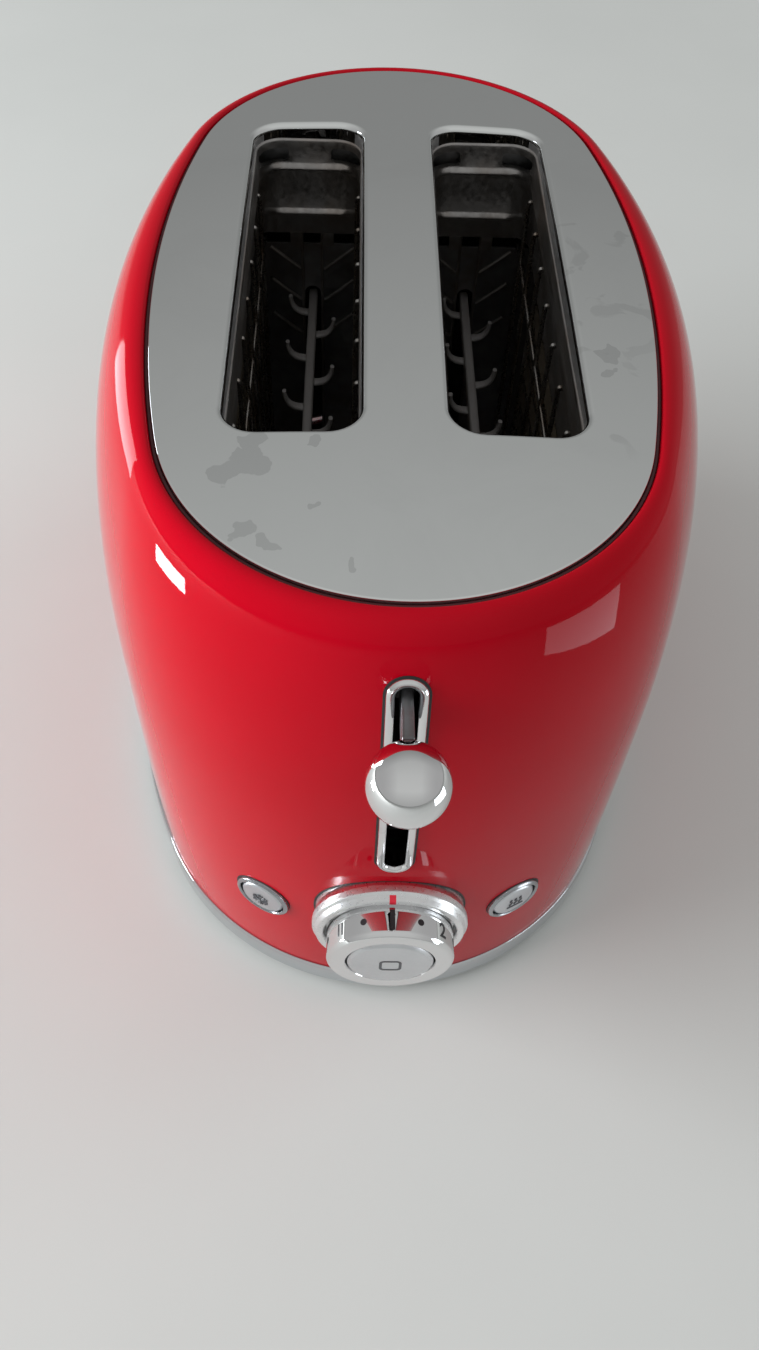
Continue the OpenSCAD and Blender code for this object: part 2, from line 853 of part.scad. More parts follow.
module button_switches() placed() color("black") {
    for (side = [-1, 1]) intersection() {
        button_seat(side) translate([-switch_w / 2, -switch_w / 2, switch_face - 20])
            cube([switch_w, switch_w, 20]);
        translate([-60, -200, 0]) cube([120, 200 + board_y, 200]);
    }
}

module mains_contacts() placed() color("goldenrod") {
    for (side = [-1, 1]) {
        for (i = [0, 1]) translate([side * contact_x - contact_w / 2, contact_y[i], chassis_low_z])
            cube([contact_w, contact_t, contact_h[i]]);
        translate([side * contact_x - contact_w / 2 - 1, contact_y[0] - contact_foot_t, chassis_low_z])
            cube([contact_w + 2, contact_foot_t, contact_foot_h]);
    }
}

module terminal_block() placed() color("ivory") difference() {
    translate([-terminal_half_w, rear_bulkhead_y + bulkhead_t + gap, terminal_z])
        cube([2 * terminal_half_w, terminal_l, terminal_h]);
    for (i = [-1 : 1]) {
        translate([i * terminal_pitch, rear_bulkhead_y + 8, terminal_z + 5])
            cylinder(r = terminal_screw_r, h = 20);
        rod_y(i * terminal_pitch, terminal_z + 6, terminal_wire_r, rear_bulkhead_y, rear_bulkhead_y + 30);
    }
}

module chassis_screws() placed() color("gray") {
    for (side = [-1, 1]) {
        for (p = [[front_bulkhead_y, -1], [rear_bulkhead_y + bulkhead_t, 1]]) {
            translate([side * leg_screw_x, p[0] + p[1] * leg_screw_h / 2, leg_screw_z]) rotate([90, 0, 0])
                cylinder(r = board_screw_head_r, h = leg_screw_h, center = true);
        }
        for (z = board_screw_z) {
            rod_y(side * post_x, z, screw_r, board_y, board_y + 7);
            rod_y(side * post_x, z, board_screw_head_r, board_y - 1.6, board_y);
        }
    }
}

module return_springs() placed() color("gray") {
    for (side = [-1, 1]) translate([side * spring_x, rod_y, 0]) difference() {
        translate([0, 0, spring_low_z]) cylinder(r = spring_r, h = spring_top_z - spring_low_z);
        translate([0, 0, ear_z]) cylinder(r = spring_r - spring_wire, h = 100);
    }
}

// ---- Carriage ----

module carriage_bracket() placed() color("gainsboro") union() {
    translate([-bracket_half_w, bracket_y, bracket_low_z])
        cube([2 * bracket_half_w, bracket_t, bracket_high_z - bracket_low_z]);
    translate([-tongue_w / 2, bracket_y, bracket_high_z])
        cube([tongue_w, bracket_t, ball_z + arm_h / 2 - bracket_high_z]);
    translate([-tongue_w / 2, magnet_y - tongue_w / 2, keeper_z + keeper_t])
        cube([tongue_w, bracket_y - magnet_y + tongue_w / 2, bracket_t]);
    for (side = [-1, 1]) difference() {
        translate([side * spring_x - ear_half_w, rod_y - ear_half_w, ear_z])
            cube([2 * ear_half_w, bracket_y - rod_y + ear_half_w, bracket_t]);
        translate([side * spring_x, rod_y, ear_z - 1]) cylinder(r = 1, h = 4);
    }
}

module carriage_bushings() placed() color("white") {
    for (side = [-1, 1]) difference() {
        union() {
            translate([side * rod_x, rod_y, bushing_low_z]) cylinder(r = bushing_r, h = bushing_h);
            translate([side * rod_x - bushing_r, rod_y, bushing_low_z])
                cube([2 * bushing_r, bracket_y - rod_y, bushing_h]);
        }
        translate([side * rod_x, rod_y, bushing_low_z - 10]) cylinder(r = rod_r + running_fit, h = 50);
    }
}

// Rail along a slot's middle with curved fingers reaching to alternate sides
module bread_rack(side) placed() color("silver") translate([side * slot_x, 0, 0]) union() {
    translate([-rack_t / 2, rack_front_y, rack_z]) cube([rack_t, rack_rear_y - rack_front_y, rack_h]);
    for (i = [0 : finger_count - 1]) {
        translate([0, finger_first_y + i * finger_pitch, rack_z]) facing(i % 2 == 0 ? -1 : 1) rack_finger();
    }
}

module rack_finger() {
    translate([0, finger_t / 2, 0]) rotate([90, 0, 0]) linear_extrude(finger_t) difference() {
        translate([rack_t / 2 - 0.5, 0]) square([finger_reach - rack_t / 2 + 0.5, rack_h + finger_rise]);
        translate([rack_t / 2 - 0.5, 0.5 + rack_h + finger_reach]) circle(finger_reach, $fn = fine);
        translate([finger_reach * 1.06, -4.2]) circle(7);
    }
}

module left_bread_rack() bread_rack(-1);

module right_bread_rack() bread_rack(1);

module keeper_plate() placed() color("gray")
    translate([-keeper_w / 2, magnet_y - core_base_l / 2, keeper_z]) cube([keeper_w, keeper_l, keeper_t]);

module lever_arm() placed() color("dimgray")
    translate([-arm_t / 2, arm_front_y, ball_z - arm_h / 2]) cube([arm_t, bracket_y - arm_front_y, arm_h]);

module lever_knob() placed() color("silver") difference() {
    union() {
        translate([0, ball_y, ball_z]) sphere(r = ball_r);
        rod_y(0, ball_z, ball_collar_r, ball_y, ball_y + ball_r + 0.4);
    }
    translate([-arm_t / 2, arm_front_y, ball_z - arm_h / 2]) cube([arm_t, 40, arm_h]);
}

// ---- Dial and buttons ----

module dial_knob() placed() color("silver") difference() {
    union() {
        rod_y(0, dial_z, dial_r, dial_face_y, dial_back_y);
        rod_y(0, dial_z, dial_hub_r, dial_back_y, dial_hub_y);
    }
    rod_y(0, dial_z, stop_r + 0.35, dial_face_y - 1, dial_face_y + stop_recess);
    rod_y(0, dial_z, shaft_r, dial_face_y, -140);
}

module dial_shaft() placed() color("gray")
    tube_y(dial_z, shaft_r, shaft_bore_r, dial_face_y + stop_recess, board_y - 0.5);

module stop_button() placed() color("lightgray") union() {
    rod_y(0, dial_z, stop_r, stop_face_y, dial_face_y + stop_recess - stop_travel - 0.4);
    rod_y(0, dial_z, stem_r, stop_face_y, board_y - stop_travel - 0.4);
}

module press_button(side) placed() color("whitesmoke") button_seat(side) union() {
    translate([0, 0, -button_skirt]) cylinder(r = button_r, h = button_skirt + button_rise);
    translate([0, 0, switch_face + button_travel + 0.3])
        cylinder(r = button_stem_r, h = -switch_face - button_skirt - button_travel);
}

module defrost_button() press_button(-1);

module reheat_button() press_button(1);

// ---- Guards ----

// Wire grille with two rails and a row of uprights whose tops hook outward
module guard(x, out) placed() color("silver") translate([x, 0, 0]) union() {
    for (z = guard_rails_z) {
        rod_y(0, z, guard_r, front_bulkhead_y - guard_rail_reach,
            rear_bulkhead_y + bulkhead_t + guard_rail_reach);
    }
    for (i = [0 : guard_count - 1]) translate([0, guard_first_y + i * guard_pitch, 0]) {
        translate([0, 0, guard_low_z]) cylinder(r = guard_r, h = guard_top_z - guard_low_z, $fn = 24);
        translate([0, 0, guard_top_z - guard_r]) rotate([0, out * 90, 0])
            cylinder(r = guard_r, h = guard_r + guard_hook, $fn = 24);
    }
}

module left_outer_guard() guard(-guard_outer_x, -1);

module left_inner_guard() guard(-guard_inner_x, 1);

module right_inner_guard() guard(guard_inner_x, -1);

module right_outer_guard() guard(guard_outer_x, 1);

// ---- Crumb tray ----

module tray_outline(inset) {
    intersection() {
        foot_oval(wall + 1);
        translate([-tray_w / 2 + inset, tray_front_y + inset]) square([tray_w - 2 * inset, 300]);
    }
}

module crumb_tray() placed() color("silver") difference() {
    translate([0, 0, tray_low_z]) linear_extrude(tray_wall_h) tray_outline(0);
    translate([0, 0, tray_low_z + tray_t]) linear_extrude(30) intersection() {
        tray_outline(tray_t);
        foot_oval(wall + 1 + tray_t);
    }
}

// Curved grip outside the shell, with a neck that reaches through the mouth to the tray
module tray_handle() placed() color("silver") union() {
    intersection() {
        translate([-handle_half_w, 60, 0]) cube([2 * handle_half_w, 120, 60]);
        difference() {
            union() {
                translate([0, 0, handle_low_z]) linear_extrude(handle_high_z - handle_low_z)
                    foot_oval(-handle_t);
                translate([0, 0, handle_high_z - handle_lip_h]) linear_extrude(handle_lip_h)
                    foot_oval(-handle_t - handle_lip_t);
            }
            linear_extrude(60) foot_oval(-handle_clear);
        }
    }
    intersection() {
        translate([-neck_half_w, 60, tray_low_z]) cube([2 * neck_half_w, 120, tray_wall_h]);
        linear_extrude(60) difference() {
            foot_oval(-handle_clear);
            foot_oval(wall + 1);
        }
    }
}

body_shell();
top_plate();
left_slot_collar();
right_slot_collar();
top_gasket();
base_ring();
base_pan();
board_posts();
feet();
base_screws();
lever_slot_trim();
left_side_bar();
right_side_bar();
dial_bezel();
dial_index();
left_button_bezel();
right_button_bezel();
cord_gland();
front_bulkhead();
rear_bulkhead();
left_reflector();
right_reflector();
left_slot_liner();
right_slot_liner();
left_heater_board();
centre_heater_board();
right_heater_board();
heating_ribbons();
guide_rods();
magnet_core();
magnet_coil();
control_board();
board_parts();
potentiometer();
button_switches();
mains_contacts();
terminal_block();
chassis_screws();
return_springs();
carriage_bracket();
carriage_bushings();
left_bread_rack();
right_bread_rack();
keeper_plate();
lever_arm();
lever_knob();
dial_knob();
dial_shaft();
stop_button();
defrost_button();
reheat_button();
left_outer_guard();
left_inner_guard();
right_inner_guard();
right_outer_guard();
crumb_tray();
tray_handle();
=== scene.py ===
import json
import math

import bmesh
import bpy
import numpy as np
from mathutils import Matrix, Vector, geometry
from mathutils.bvhtree import BVHTree


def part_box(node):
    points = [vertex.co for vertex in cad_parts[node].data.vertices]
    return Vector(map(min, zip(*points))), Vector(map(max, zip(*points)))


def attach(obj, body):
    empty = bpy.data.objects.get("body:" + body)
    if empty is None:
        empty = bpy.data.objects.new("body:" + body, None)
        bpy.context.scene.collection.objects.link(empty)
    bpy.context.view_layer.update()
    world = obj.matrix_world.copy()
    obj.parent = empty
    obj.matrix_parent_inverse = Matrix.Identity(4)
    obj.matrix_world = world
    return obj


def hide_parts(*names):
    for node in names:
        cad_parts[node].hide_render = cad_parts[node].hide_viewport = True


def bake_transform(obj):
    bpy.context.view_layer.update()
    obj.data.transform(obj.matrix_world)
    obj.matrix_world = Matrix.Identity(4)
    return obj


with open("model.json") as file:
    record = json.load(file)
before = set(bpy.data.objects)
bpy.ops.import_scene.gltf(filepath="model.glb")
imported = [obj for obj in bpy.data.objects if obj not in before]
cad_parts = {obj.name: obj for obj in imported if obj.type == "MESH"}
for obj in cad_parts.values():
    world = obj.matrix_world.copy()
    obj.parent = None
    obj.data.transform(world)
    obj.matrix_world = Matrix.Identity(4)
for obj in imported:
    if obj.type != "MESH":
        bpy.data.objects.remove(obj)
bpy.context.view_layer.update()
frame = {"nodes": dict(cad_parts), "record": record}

# Everything below is worked out in millimetres about the body's middle, as in the CAD source.
MM = 0.001


def box_mm(node):
    low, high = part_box(node)
    return np.array(low) / MM, np.array(high) / MM


SHELL_LOW, SHELL_HIGH = box_mm("body_shell")
BODY_Y = (SHELL_LOW[1] + SHELL_HIGH[1]) / 2
HALF_W = (SHELL_HIGH[0] - SHELL_LOW[0]) / 2
HALF_L = 143.0
END_R = 84.0
SHELL_Z = SHELL_LOW[2]
WIDEST_Z = 103.0
TUCK = 3.0
WALL = 1.2
RIM_W, RIM_L, RIM_R, RIM_Y = 72.3, 127.0, 66.0, 1.0
CROWN_TOP = 196.0
CROWN_FALL_L, CROWN_FALL_W = 6.5, 5.5
SHOULDER_P = 2.12
SLOT_X, SLOT_Y = 29.3, 6.0
SLOT_HALF_W, SLOT_HALF_L = 19.8, 78.4
DIAL_Z = 65.2
BUTTON_Z = 57.0
BUTTON_ANGLE = math.radians(28)
BALL = (0.0, -159.0, 168.0)
SIDES = ((-1, "left"), (1, "right"))


# ---------------------------------------------------------------- mesh building

class Mesh:
    """Collects vertices with optional normals, and faces; equal vertices are shared."""

    def __init__(self):
        self.verts, self.normals, self.faces, self.index = [], [], [], {}

    def vertex(self, co, normal=(0, 0, 0)):
        key = (round(co[0], 4), round(co[1], 4), round(co[2], 4))
        if key not in self.index:
            self.index[key] = len(self.verts)
            self.verts.append(co)
            self.normals.append(normal)
        return self.index[key]

    def face(self, *corners):
        kept = [c for i, c in enumerate(corners) if c != corners[i - 1]]
        if len(kept) > 2:
            self.faces.append(kept)

    def grid(self, rows, closed_rows=False, closed_columns=True, normals=None):
        """Quads between rows of points of equal length."""
        ids = [[self.vertex(p, normals[i][j] if normals is not None else (0, 0, 0))
                for j, p in enumerate(row)] for i, row in enumerate(rows)]
        m, n = len(ids), len(ids[0])
        for i in range(m if closed_rows else m - 1):
            for j in range(n if closed_columns else n - 1):
                a, b = ids[i], ids[(i + 1) % m]
                self.face(a[j], a[(j + 1) % n], b[(j + 1) % n], b[j])
        return ids

    def capped(self, rows):
        """A grid of closed rows with a face over each end."""
        ids = self.grid(rows)
        self.face(*ids[0][::-1])
        self.face(*ids[-1])

    def join(self, points, faces):
        start = len(self.verts)
        self.verts += points
        self.faces += [[start + i for i in f] for f in faces]


def new_object(name, verts, faces, material, sharp=None):
    """A mesh object in the row frame, in metres, from points in millimetres about the body's middle."""
    mesh = bpy.data.meshes.new(name)
    mesh.from_pydata([(x * MM, (y + BODY_Y) * MM, z * MM) for x, y, z in verts], [], faces)
    mesh.update()
    obj = bpy.data.objects.new(name, mesh)
    bpy.context.scene.collection.objects.link(obj)
    mesh.polygons.foreach_set("use_smooth", [True] * len(mesh.polygons))
    if sharp is not None:
        mesh.set_sharp_from_angle(angle=math.radians(sharp))
    mesh.materials.append(material)
    return obj


def place(obj, body, slot, *nodes):
    """The piece rides on a body and stands for CAD nodes, which are hidden; the slot is not used."""
    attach(obj, body)
    if nodes:
        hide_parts(*nodes)
    return obj


def outward(obj):
    """Turns all faces of a closed mesh outward."""
    b = bmesh.new()
    b.from_mesh(obj.data)
    bmesh.ops.recalc_face_normals(b, faces=b.faces)
    b.to_mesh(obj.data)
    b.free()
    return obj


def piece(name, mesh, material, sharp, body, slot, *nodes):
    """A closed mesh as a finished piece: its faces outward, on a body, standing for CAD nodes."""
    return place(outward(new_object(name, mesh.verts, mesh.faces, material, sharp)), body, slot, *nodes)


def cut_away(obj, cutter):
    modifier = obj.modifiers.new("cut", "BOOLEAN")
    modifier.operation, modifier.object, modifier.solver = "DIFFERENCE", cutter, "MANIFOLD"
    bpy.context.view_layer.update()
    graph = bpy.context.evaluated_depsgraph_get()
    mesh = bpy.data.meshes.new_from_object(obj.evaluated_get(graph))
    obj.modifiers.clear()
    obj.data = mesh
    bpy.data.objects.remove(cutter)


def fillet(points, radii, steps=6, closed=False):
    """A polyline whose corners are rounded; radii has one value for each point, 0 for a sharp one."""
    pts = [np.array(p, float) for p in points]
    out = []
    n = len(pts)
    for i, p in enumerate(pts):
        r = radii[i] if hasattr(radii, "__len__") else radii
        if r <= 0 or (not closed and i in (0, n - 1)):
            out.append(p)
            continue
        a, b = pts[i - 1] - p, pts[(i + 1) % n] - p
        la, lb = np.linalg.norm(a), np.linalg.norm(b)
        a, b = a / la, b / lb
        half = math.acos(max(-1, min(1, float(a @ b)))) / 2
        if half > math.radians(89):
            out.append(p)
            continue
        cut = min(r / math.tan(half), la * 0.49, lb * 0.49)
        r = cut * math.tan(half)
        centre = p + (a + b) / np.linalg.norm(a + b) * (r / math.sin(half))
        s, e = p + a * cut - centre, p + b * cut - centre
        turn = math.acos(max(-1, min(1, float(s @ e) / (r * r))))
        for k in range(steps + 1):
            t = k / steps
            if turn < 1e-6:
                out.append(centre + s)
                break
            out.append(centre + (math.sin((1 - t) * turn) * s + math.sin(t * turn) * e) / math.sin(turn))
    return out


def turns(n):
    return np.linspace(0, 2 * math.pi, n, endpoint=False)


def circle(r, n, centre=0.0):
    """Points of a circle, its centre this far up."""
    return [(r * math.cos(t), centre + r * math.sin(t)) for t in turns(n)]


def lathe(mesh, profile, centre_z, segments=128):
    """Turns a profile of (radius, Y) about a line along Y."""
    angles = [2 * math.pi * k / segments for k in range(segments)]
    mesh.grid([[(r * math.cos(t), y, centre_z + r * math.sin(t)) for t in angles] for r, y in profile])


def tube(mesh, path, r, segments=12):
    """A round wire along a path, with a frame carried along it so that it doesn't twist."""
    pts = [np.array(p, float) for p in path]
    side = None
    rows = []
    for i, p in enumerate(pts):
        a, b = pts[max(i - 1, 0)], pts[min(i + 1, len(pts) - 1)]
        d = (b - a) / np.linalg.norm(b - a)
        if side is None:
            seed = np.array([0, 0, 1.0]) if abs(d[2]) < 0.9 else np.array([1.0, 0, 0])
            side = np.cross(d, seed)
        side = side - d * (side @ d)
        side = side / np.linalg.norm(side)
        up = np.cross(d, side)
        rows.append([tuple(p + r * (math.cos(t) * side + math.sin(t) * up)) for t in turns(segments)])
    mesh.capped(rows)


def block(mesh, low, high, bevel):
    """A box with rounded upright edges and small chamfers, as a loft of rounded rectangles along Z."""
    (x0, y0, z0), (x1, y1, z1) = low, high
    step = bevel * 0.3
    rows = []
    for inset, z in ((bevel, z0), (step, z0 + step), (0, z0 + bevel), (0, z1 - bevel), (step, z1 - step),
                     (bevel, z1)):
        corners = [(x0 + inset, y0 + inset), (x1 - inset, y0 + inset),
                   (x1 - inset, y1 - inset), (x0 + inset, y1 - inset)]
        rows.append([(q[0], q[1], z) for q in fillet(corners, bevel, 3, True)])
    mesh.capped(rows)


# ---------------------------------------------------------------- plan and crown

def side_radius(a, b, r):
    return (a * a + (b - r) ** 2 - r * r) / (2 * (a - r))


def oval(a, b, r, y=0.0, n_side=24, n_end=40):
    """Points and outward normals of an oval of two end arcs and two side arcs, anticlockwise."""
    s = side_radius(a, b, r)
    turn = math.atan2(b - r, s - a)
    quarter = [(a - s + s * math.cos(t), s * math.sin(t), t)
               for t in (turn * i / n_side for i in range(n_side))]
    quarter += [(r * math.cos(t), b - r + r * math.sin(t), t)
                for t in (turn + (math.pi / 2 - turn) * i / n_end for i in range(n_end + 1))]
    q = [(x, v, math.cos(t), math.sin(t)) for x, v, t in quarter]
    loop = q + [(-x, v, -nx, ny) for x, v, nx, ny in q[-2::-1]]
    loop += [(-x, -v, -nx, -ny) for x, v, nx, ny in q[1:]]
    loop += [(x, -v, nx, -ny) for x, v, nx, ny in q[-2:0:-1]]
    return [(x, v + y, nx, ny) for x, v, nx, ny in loop]


def rounded_rectangle(half_x, half_y, r, centre, n=10, step=4.0):
    """Points and outward normals of a rounded rectangle, anticlockwise, with its straight sides divided."""
    loop = []
    corners = [(1, -1, -90), (1, 1, 0), (-1, 1, 90), (-1, -1, 180)]
    for k, (sx, sy, start) in enumerate(corners):
        c = (centre[0] + sx * (half_x - r), centre[1] + sy * (half_y - r))
        for i in range(n + 1):
            t = math.radians(start + 90 * i / n)
            loop.append((c[0] + r * math.cos(t), c[1] + r * math.sin(t), math.cos(t), math.sin(t)))
        nx, ny = loop[-1][2:]
        far = corners[(k + 1) % 4]
        nc = (centre[0] + far[0] * (half_x - r), centre[1] + far[1] * (half_y - r))
        end = (nc[0] + r * nx, nc[1] + r * ny)
        length = math.hypot(end[0] - loop[-1][0], end[1] - loop[-1][1])
        parts = max(1, int(length / step))
        sx0, sy0 = loop[-1][:2]
        for i in range(1, parts):
            f = i / parts
            loop.append((sx0 + (end[0] - sx0) * f, sy0 + (end[1] - sy0) * f, nx, ny))
    return loop


def crown_z(x, y):
    return CROWN_TOP - CROWN_FALL_L * (y / HALF_L) ** 2 - CROWN_FALL_W * (x / HALF_W) ** 2


def crown_slope(x, y):
    return -2 * CROWN_FALL_W * x / HALF_W ** 2, -2 * CROWN_FALL_L * y / HALF_L ** 2


def unit(v):
    v = np.array(v, float)
    return tuple(v / max(np.linalg.norm(v), 1e-9))


# ---------------------------------------------------------------- materials

def material(name, color, roughness, metallic=0.0, **inputs):
    m = bpy.data.materials.new(name)
    m.use_nodes = True
    tree = m.node_tree
    shader = tree.nodes["Principled BSDF"]
    shader.inputs["Base Color"].default_value = (*color, 1)
    shader.inputs["Roughness"].default_value = roughness
    shader.inputs["Metallic"].default_value = metallic
    for key, value in inputs.items():
        shader.inputs[key.replace("_", " ")].default_value = value
    return m


def node(m, kind, **values):
    made = m.node_tree.nodes.new(kind)
    for key, value in values.items():
        if hasattr(made, key):
            setattr(made, key, value)
        else:
            made.inputs[key.replace("_", " ")].default_value = value
    return made


def link(m, a, b):
    m.node_tree.links.new(a, b)


def shader_of(m):
    return m.node_tree.nodes["Principled BSDF"]


def object_place(m):
    """The place on the object, in metres."""
    return node(m, "ShaderNodeTexCoord").outputs["Object"]


def noise(m, scale, detail=4.0, roughness=0.55, distortion=0.0, stretch=(1, 1, 1)):
    """A noise in the object's own metres; stretch squeezes it along an axis."""
    mapping = node(m, "ShaderNodeMapping")
    mapping.inputs["Scale"].default_value = stretch
    link(m, object_place(m), mapping.inputs["Vector"])
    tex = node(m, "ShaderNodeTexNoise", Scale=scale, Detail=detail, Roughness=roughness,
               Distortion=distortion)
    link(m, mapping.outputs["Vector"], tex.inputs["Vector"])
    return tex.outputs["Fac"]


def ranged(m, value, low, high, to_low, to_high):
    r = node(m, "ShaderNodeMapRange")
    for key, v in (("From Min", low), ("From Max", high), ("To Min", to_low), ("To Max", to_high)):
        r.inputs[key].default_value = v
    link(m, value, r.inputs["Value"])
    return r.outputs["Result"]


def mix_colors(m, fac, a, b):
    mix = node(m, "ShaderNodeMix", data_type="RGBA")
    link(m, fac, mix.inputs["Factor"])
    for socket, color in ((mix.inputs[6], a), (mix.inputs[7], b)):
        if isinstance(color, tuple):
            socket.default_value = (*color, 1)
        else:
            link(m, color, socket)
    return mix.outputs[2]


def bump(m, height, strength, distance):
    """Adds a bump below the ones already there."""
    shader = shader_of(m)
    made = node(m, "ShaderNodeBump", Strength=strength, Distance=distance)
    link(m, height, made.inputs["Height"])
    before = shader.inputs["Normal"].links
    if before:
        link(m, before[0].from_socket, made.inputs["Normal"])
    link(m, made.outputs["Normal"], shader.inputs["Normal"])


def add(m, a, b, operation="ADD"):
    math_node = node(m, "ShaderNodeMath", operation=operation)
    for socket, value in ((math_node.inputs[0], a), (math_node.inputs[1], b)):
        if isinstance(value, (int, float)):
            socket.default_value = value
        else:
            link(m, value, socket)
    return math_node.outputs[0]


def red_enamel(name="red_enamel", light=(0.47, 0.0005, 0.011), deep=(0.42, 0.0003, 0.008)):
    """Glossy enamel: a slightly uneven red under a clear surface with faint orange peel and smears."""
    m = material(name, light, 0.04, IOR=1.21)
    tone = ranged(m, noise(m, 9, 3), 0.35, 0.65, 0, 1)
    link(m, mix_colors(m, tone, deep, light), shader_of(m).inputs["Base Color"])
    smear = ranged(m, noise(m, 26, 5, 0.6, 0.6, (1, 1, 0.5)), 0.45, 0.8, 0.025, 0.075)
    link(m, smear, shader_of(m).inputs["Roughness"])
    bump(m, noise(m, 420, 2), 0.012, 0.0002)
    bump(m, noise(m, 40, 2), 0.012, 0.001)
    return m


def mirror_chrome(name="mirror_chrome", color=(0.80, 0.80, 0.805), smudge=0.5):
    """Polished chrome with faint smears and dried water drops."""
    m = material(name, color, 0.05, 1.0)
    haze = ranged(m, noise(m, 22, 6, 0.6, 0.8), 0.5, 0.78, 0.0, 1.0)
    drops = node(m, "ShaderNodeTexVoronoi", Scale=48)
    link(m, object_place(m), drops.inputs["Vector"])
    spots = ranged(m, drops.outputs["Distance"], 0.06, 0.16, 1.0, 0.0)
    patchy = add(m, spots, ranged(m, noise(m, 14, 2), 0.5, 0.62, 0.0, 1.0), "MULTIPLY")
    level = add(m, add(m, haze, 0.05 * smudge, "MULTIPLY"), add(m, patchy, 0.16 * smudge, "MULTIPLY"))
    link(m, add(m, level, 0.015), shader_of(m).inputs["Roughness"])
    dull = tuple(c * 0.80 for c in color)
    edge = ranged(m, noise(m, 70, 3, 0.5, 0.8), 0.60, 0.64, 0.0, 1.0)
    dried = add(m, edge, ranged(m, noise(m, 13, 1), 0.56, 0.60, 0.0, 1.0), "MULTIPLY")
    mark = add(m, add(m, haze, 0.25, "MULTIPLY"), add(m, dried, 0.75, "MULTIPLY"))
    link(m, mix_colors(m, add(m, mark, smudge, "MULTIPLY"), color, dull), shader_of(m).inputs["Base Color"])
    bump(m, noise(m, 30, 2), 0.008, 0.001)
    return m


MARK_WANDER = 0.016
MARK_SHADE = (0.83, 0.83, 0.83)


def dried_marks(m, places):
    """Dried water marks with ragged edges, at given places of (x, y, radius) in millimetres."""
    coord = object_place(m)
    ragged = node(m, "ShaderNodeTexNoise", Scale=110.0, Detail=3.0)
    link(m, coord, ragged.inputs["Vector"])
    wander = node(m, "ShaderNodeVectorMath", operation="MULTIPLY_ADD")
    link(m, ragged.outputs["Color"], wander.inputs[0])
    wander.inputs[1].default_value = (MARK_WANDER, MARK_WANDER, 0)
    link(m, coord, wander.inputs[2])
    flat = node(m, "ShaderNodeVectorMath", operation="MULTIPLY")
    link(m, wander.outputs["Vector"], flat.inputs[0])
    flat.inputs[1].default_value = (1, 1, 0)
    total = None
    for x, y, radius in places:
        away = node(m, "ShaderNodeVectorMath", operation="DISTANCE")
        link(m, flat.outputs["Vector"], away.inputs[0])
        away.inputs[1].default_value = (x * MM + MARK_WANDER / 2, (y + BODY_Y) * MM + MARK_WANDER / 2, 0)
        spot = ranged(m, away.outputs["Value"], radius * 0.93 * MM, radius * MM, 1, 0)
        total = spot if total is None else add(m, total, spot, "MAXIMUM")
    socket = shader_of(m).inputs["Base Color"]
    clean = socket.links[0].from_socket
    shade = mix_colors(m, total, (1, 1, 1), MARK_SHADE)
    product = node(m, "ShaderNodeMix", data_type="RGBA", blend_type="MULTIPLY")
    product.inputs["Factor"].default_value = 1.0
    link(m, clean, product.inputs[6])
    link(m, shade, product.inputs[7])
    link(m, product.outputs[2], socket)
    return m


def satin_chrome(name, color=(0.70, 0.71, 0.73), roughness=0.26, grain=(1, 1, 1)):
    m = material(name, color, roughness, 1.0)
    fine = noise(m, 900, 3, 0.6, 0, grain)
    link(m, ranged(m, fine, 0.3, 0.7, roughness - 0.05, roughness + 0.07), shader_of(m).inputs["Roughness"])
    tone = ranged(m, noise(m, 60, 4), 0.35, 0.7, 0, 1)
    link(m, mix_colors(m, tone, color, tuple(c * 0.9 for c in color)), shader_of(m).inputs["Base Color"])
    bump(m, fine, 0.05, 0.0002)
    return m


def plastic(name, color, roughness=0.45, grain=700, strength=0.12):
    m = material(name, color, roughness)
    tone = ranged(m, noise(m, 45, 4), 0.35, 0.7, 0, 1)
    link(m, mix_colors(m, tone, color, tuple(min(1, c * 1.18 + 0.004) for c in color)),
         shader_of(m).inputs["Base Color"])
    texture = noise(m, grain, 3, 0.6)
    gloss = ranged(m, texture, 0.3, 0.7, roughness - 0.06, roughness + 0.08)
    link(m, gloss, shader_of(m).inputs["Roughness"])
    bump(m, texture, strength, 0.0002)
    return m


def sheet_metal(name, color=(0.33, 0.33, 0.335), roughness=0.38, dark=0.55, spangle=160):
    """Galvanised or heat-tinted sheet: crystalline patches, rolled grain and brown staining."""
    m = material(name, color, roughness, 1.0)
    cells = node(m, "ShaderNodeTexVoronoi", Scale=spangle, feature="F1")
    link(m, object_place(m), cells.inputs["Vector"])
    facet = ranged(m, cells.outputs["Distance"], 0.1, 0.8, 0, 1)
    a = mix_colors(m, facet, color, tuple(c * 0.8 for c in color))
    stain = ranged(m, noise(m, 35, 6, 0.65, 0.5), 0.45, 0.75, 0, 0.8)
    brown = (color[0] * dark * 1.1, color[1] * dark * 0.9, color[2] * dark * 0.75)
    link(m, mix_colors(m, stain, a, brown), shader_of(m).inputs["Base Color"])
    rolled = noise(m, 500, 3, 0.6, 0, (1, 0.06, 1))
    link(m, ranged(m, rolled, 0.3, 0.7, roughness - 0.08, roughness + 0.12), shader_of(m).inputs["Roughness"])
    bump(m, rolled, 0.06, 0.0002)
    return m


def wire_metal(name="bright_wire", color=(0.38, 0.37, 0.355)):
    m = material(name, color, 0.28, 1.0)
    tint = ranged(m, noise(m, 90, 5, 0.6), 0.4, 0.75, 0, 1)
    link(m, mix_colors(m, tint, color, (0.22, 0.16, 0.11)), shader_of(m).inputs["Base Color"])
    link(m, ranged(m, noise(m, 700, 2), 0.3, 0.7, 0.2, 0.4), shader_of(m).inputs["Roughness"])
    bump(m, noise(m, 900, 2), 0.08, 0.0002)
    return m


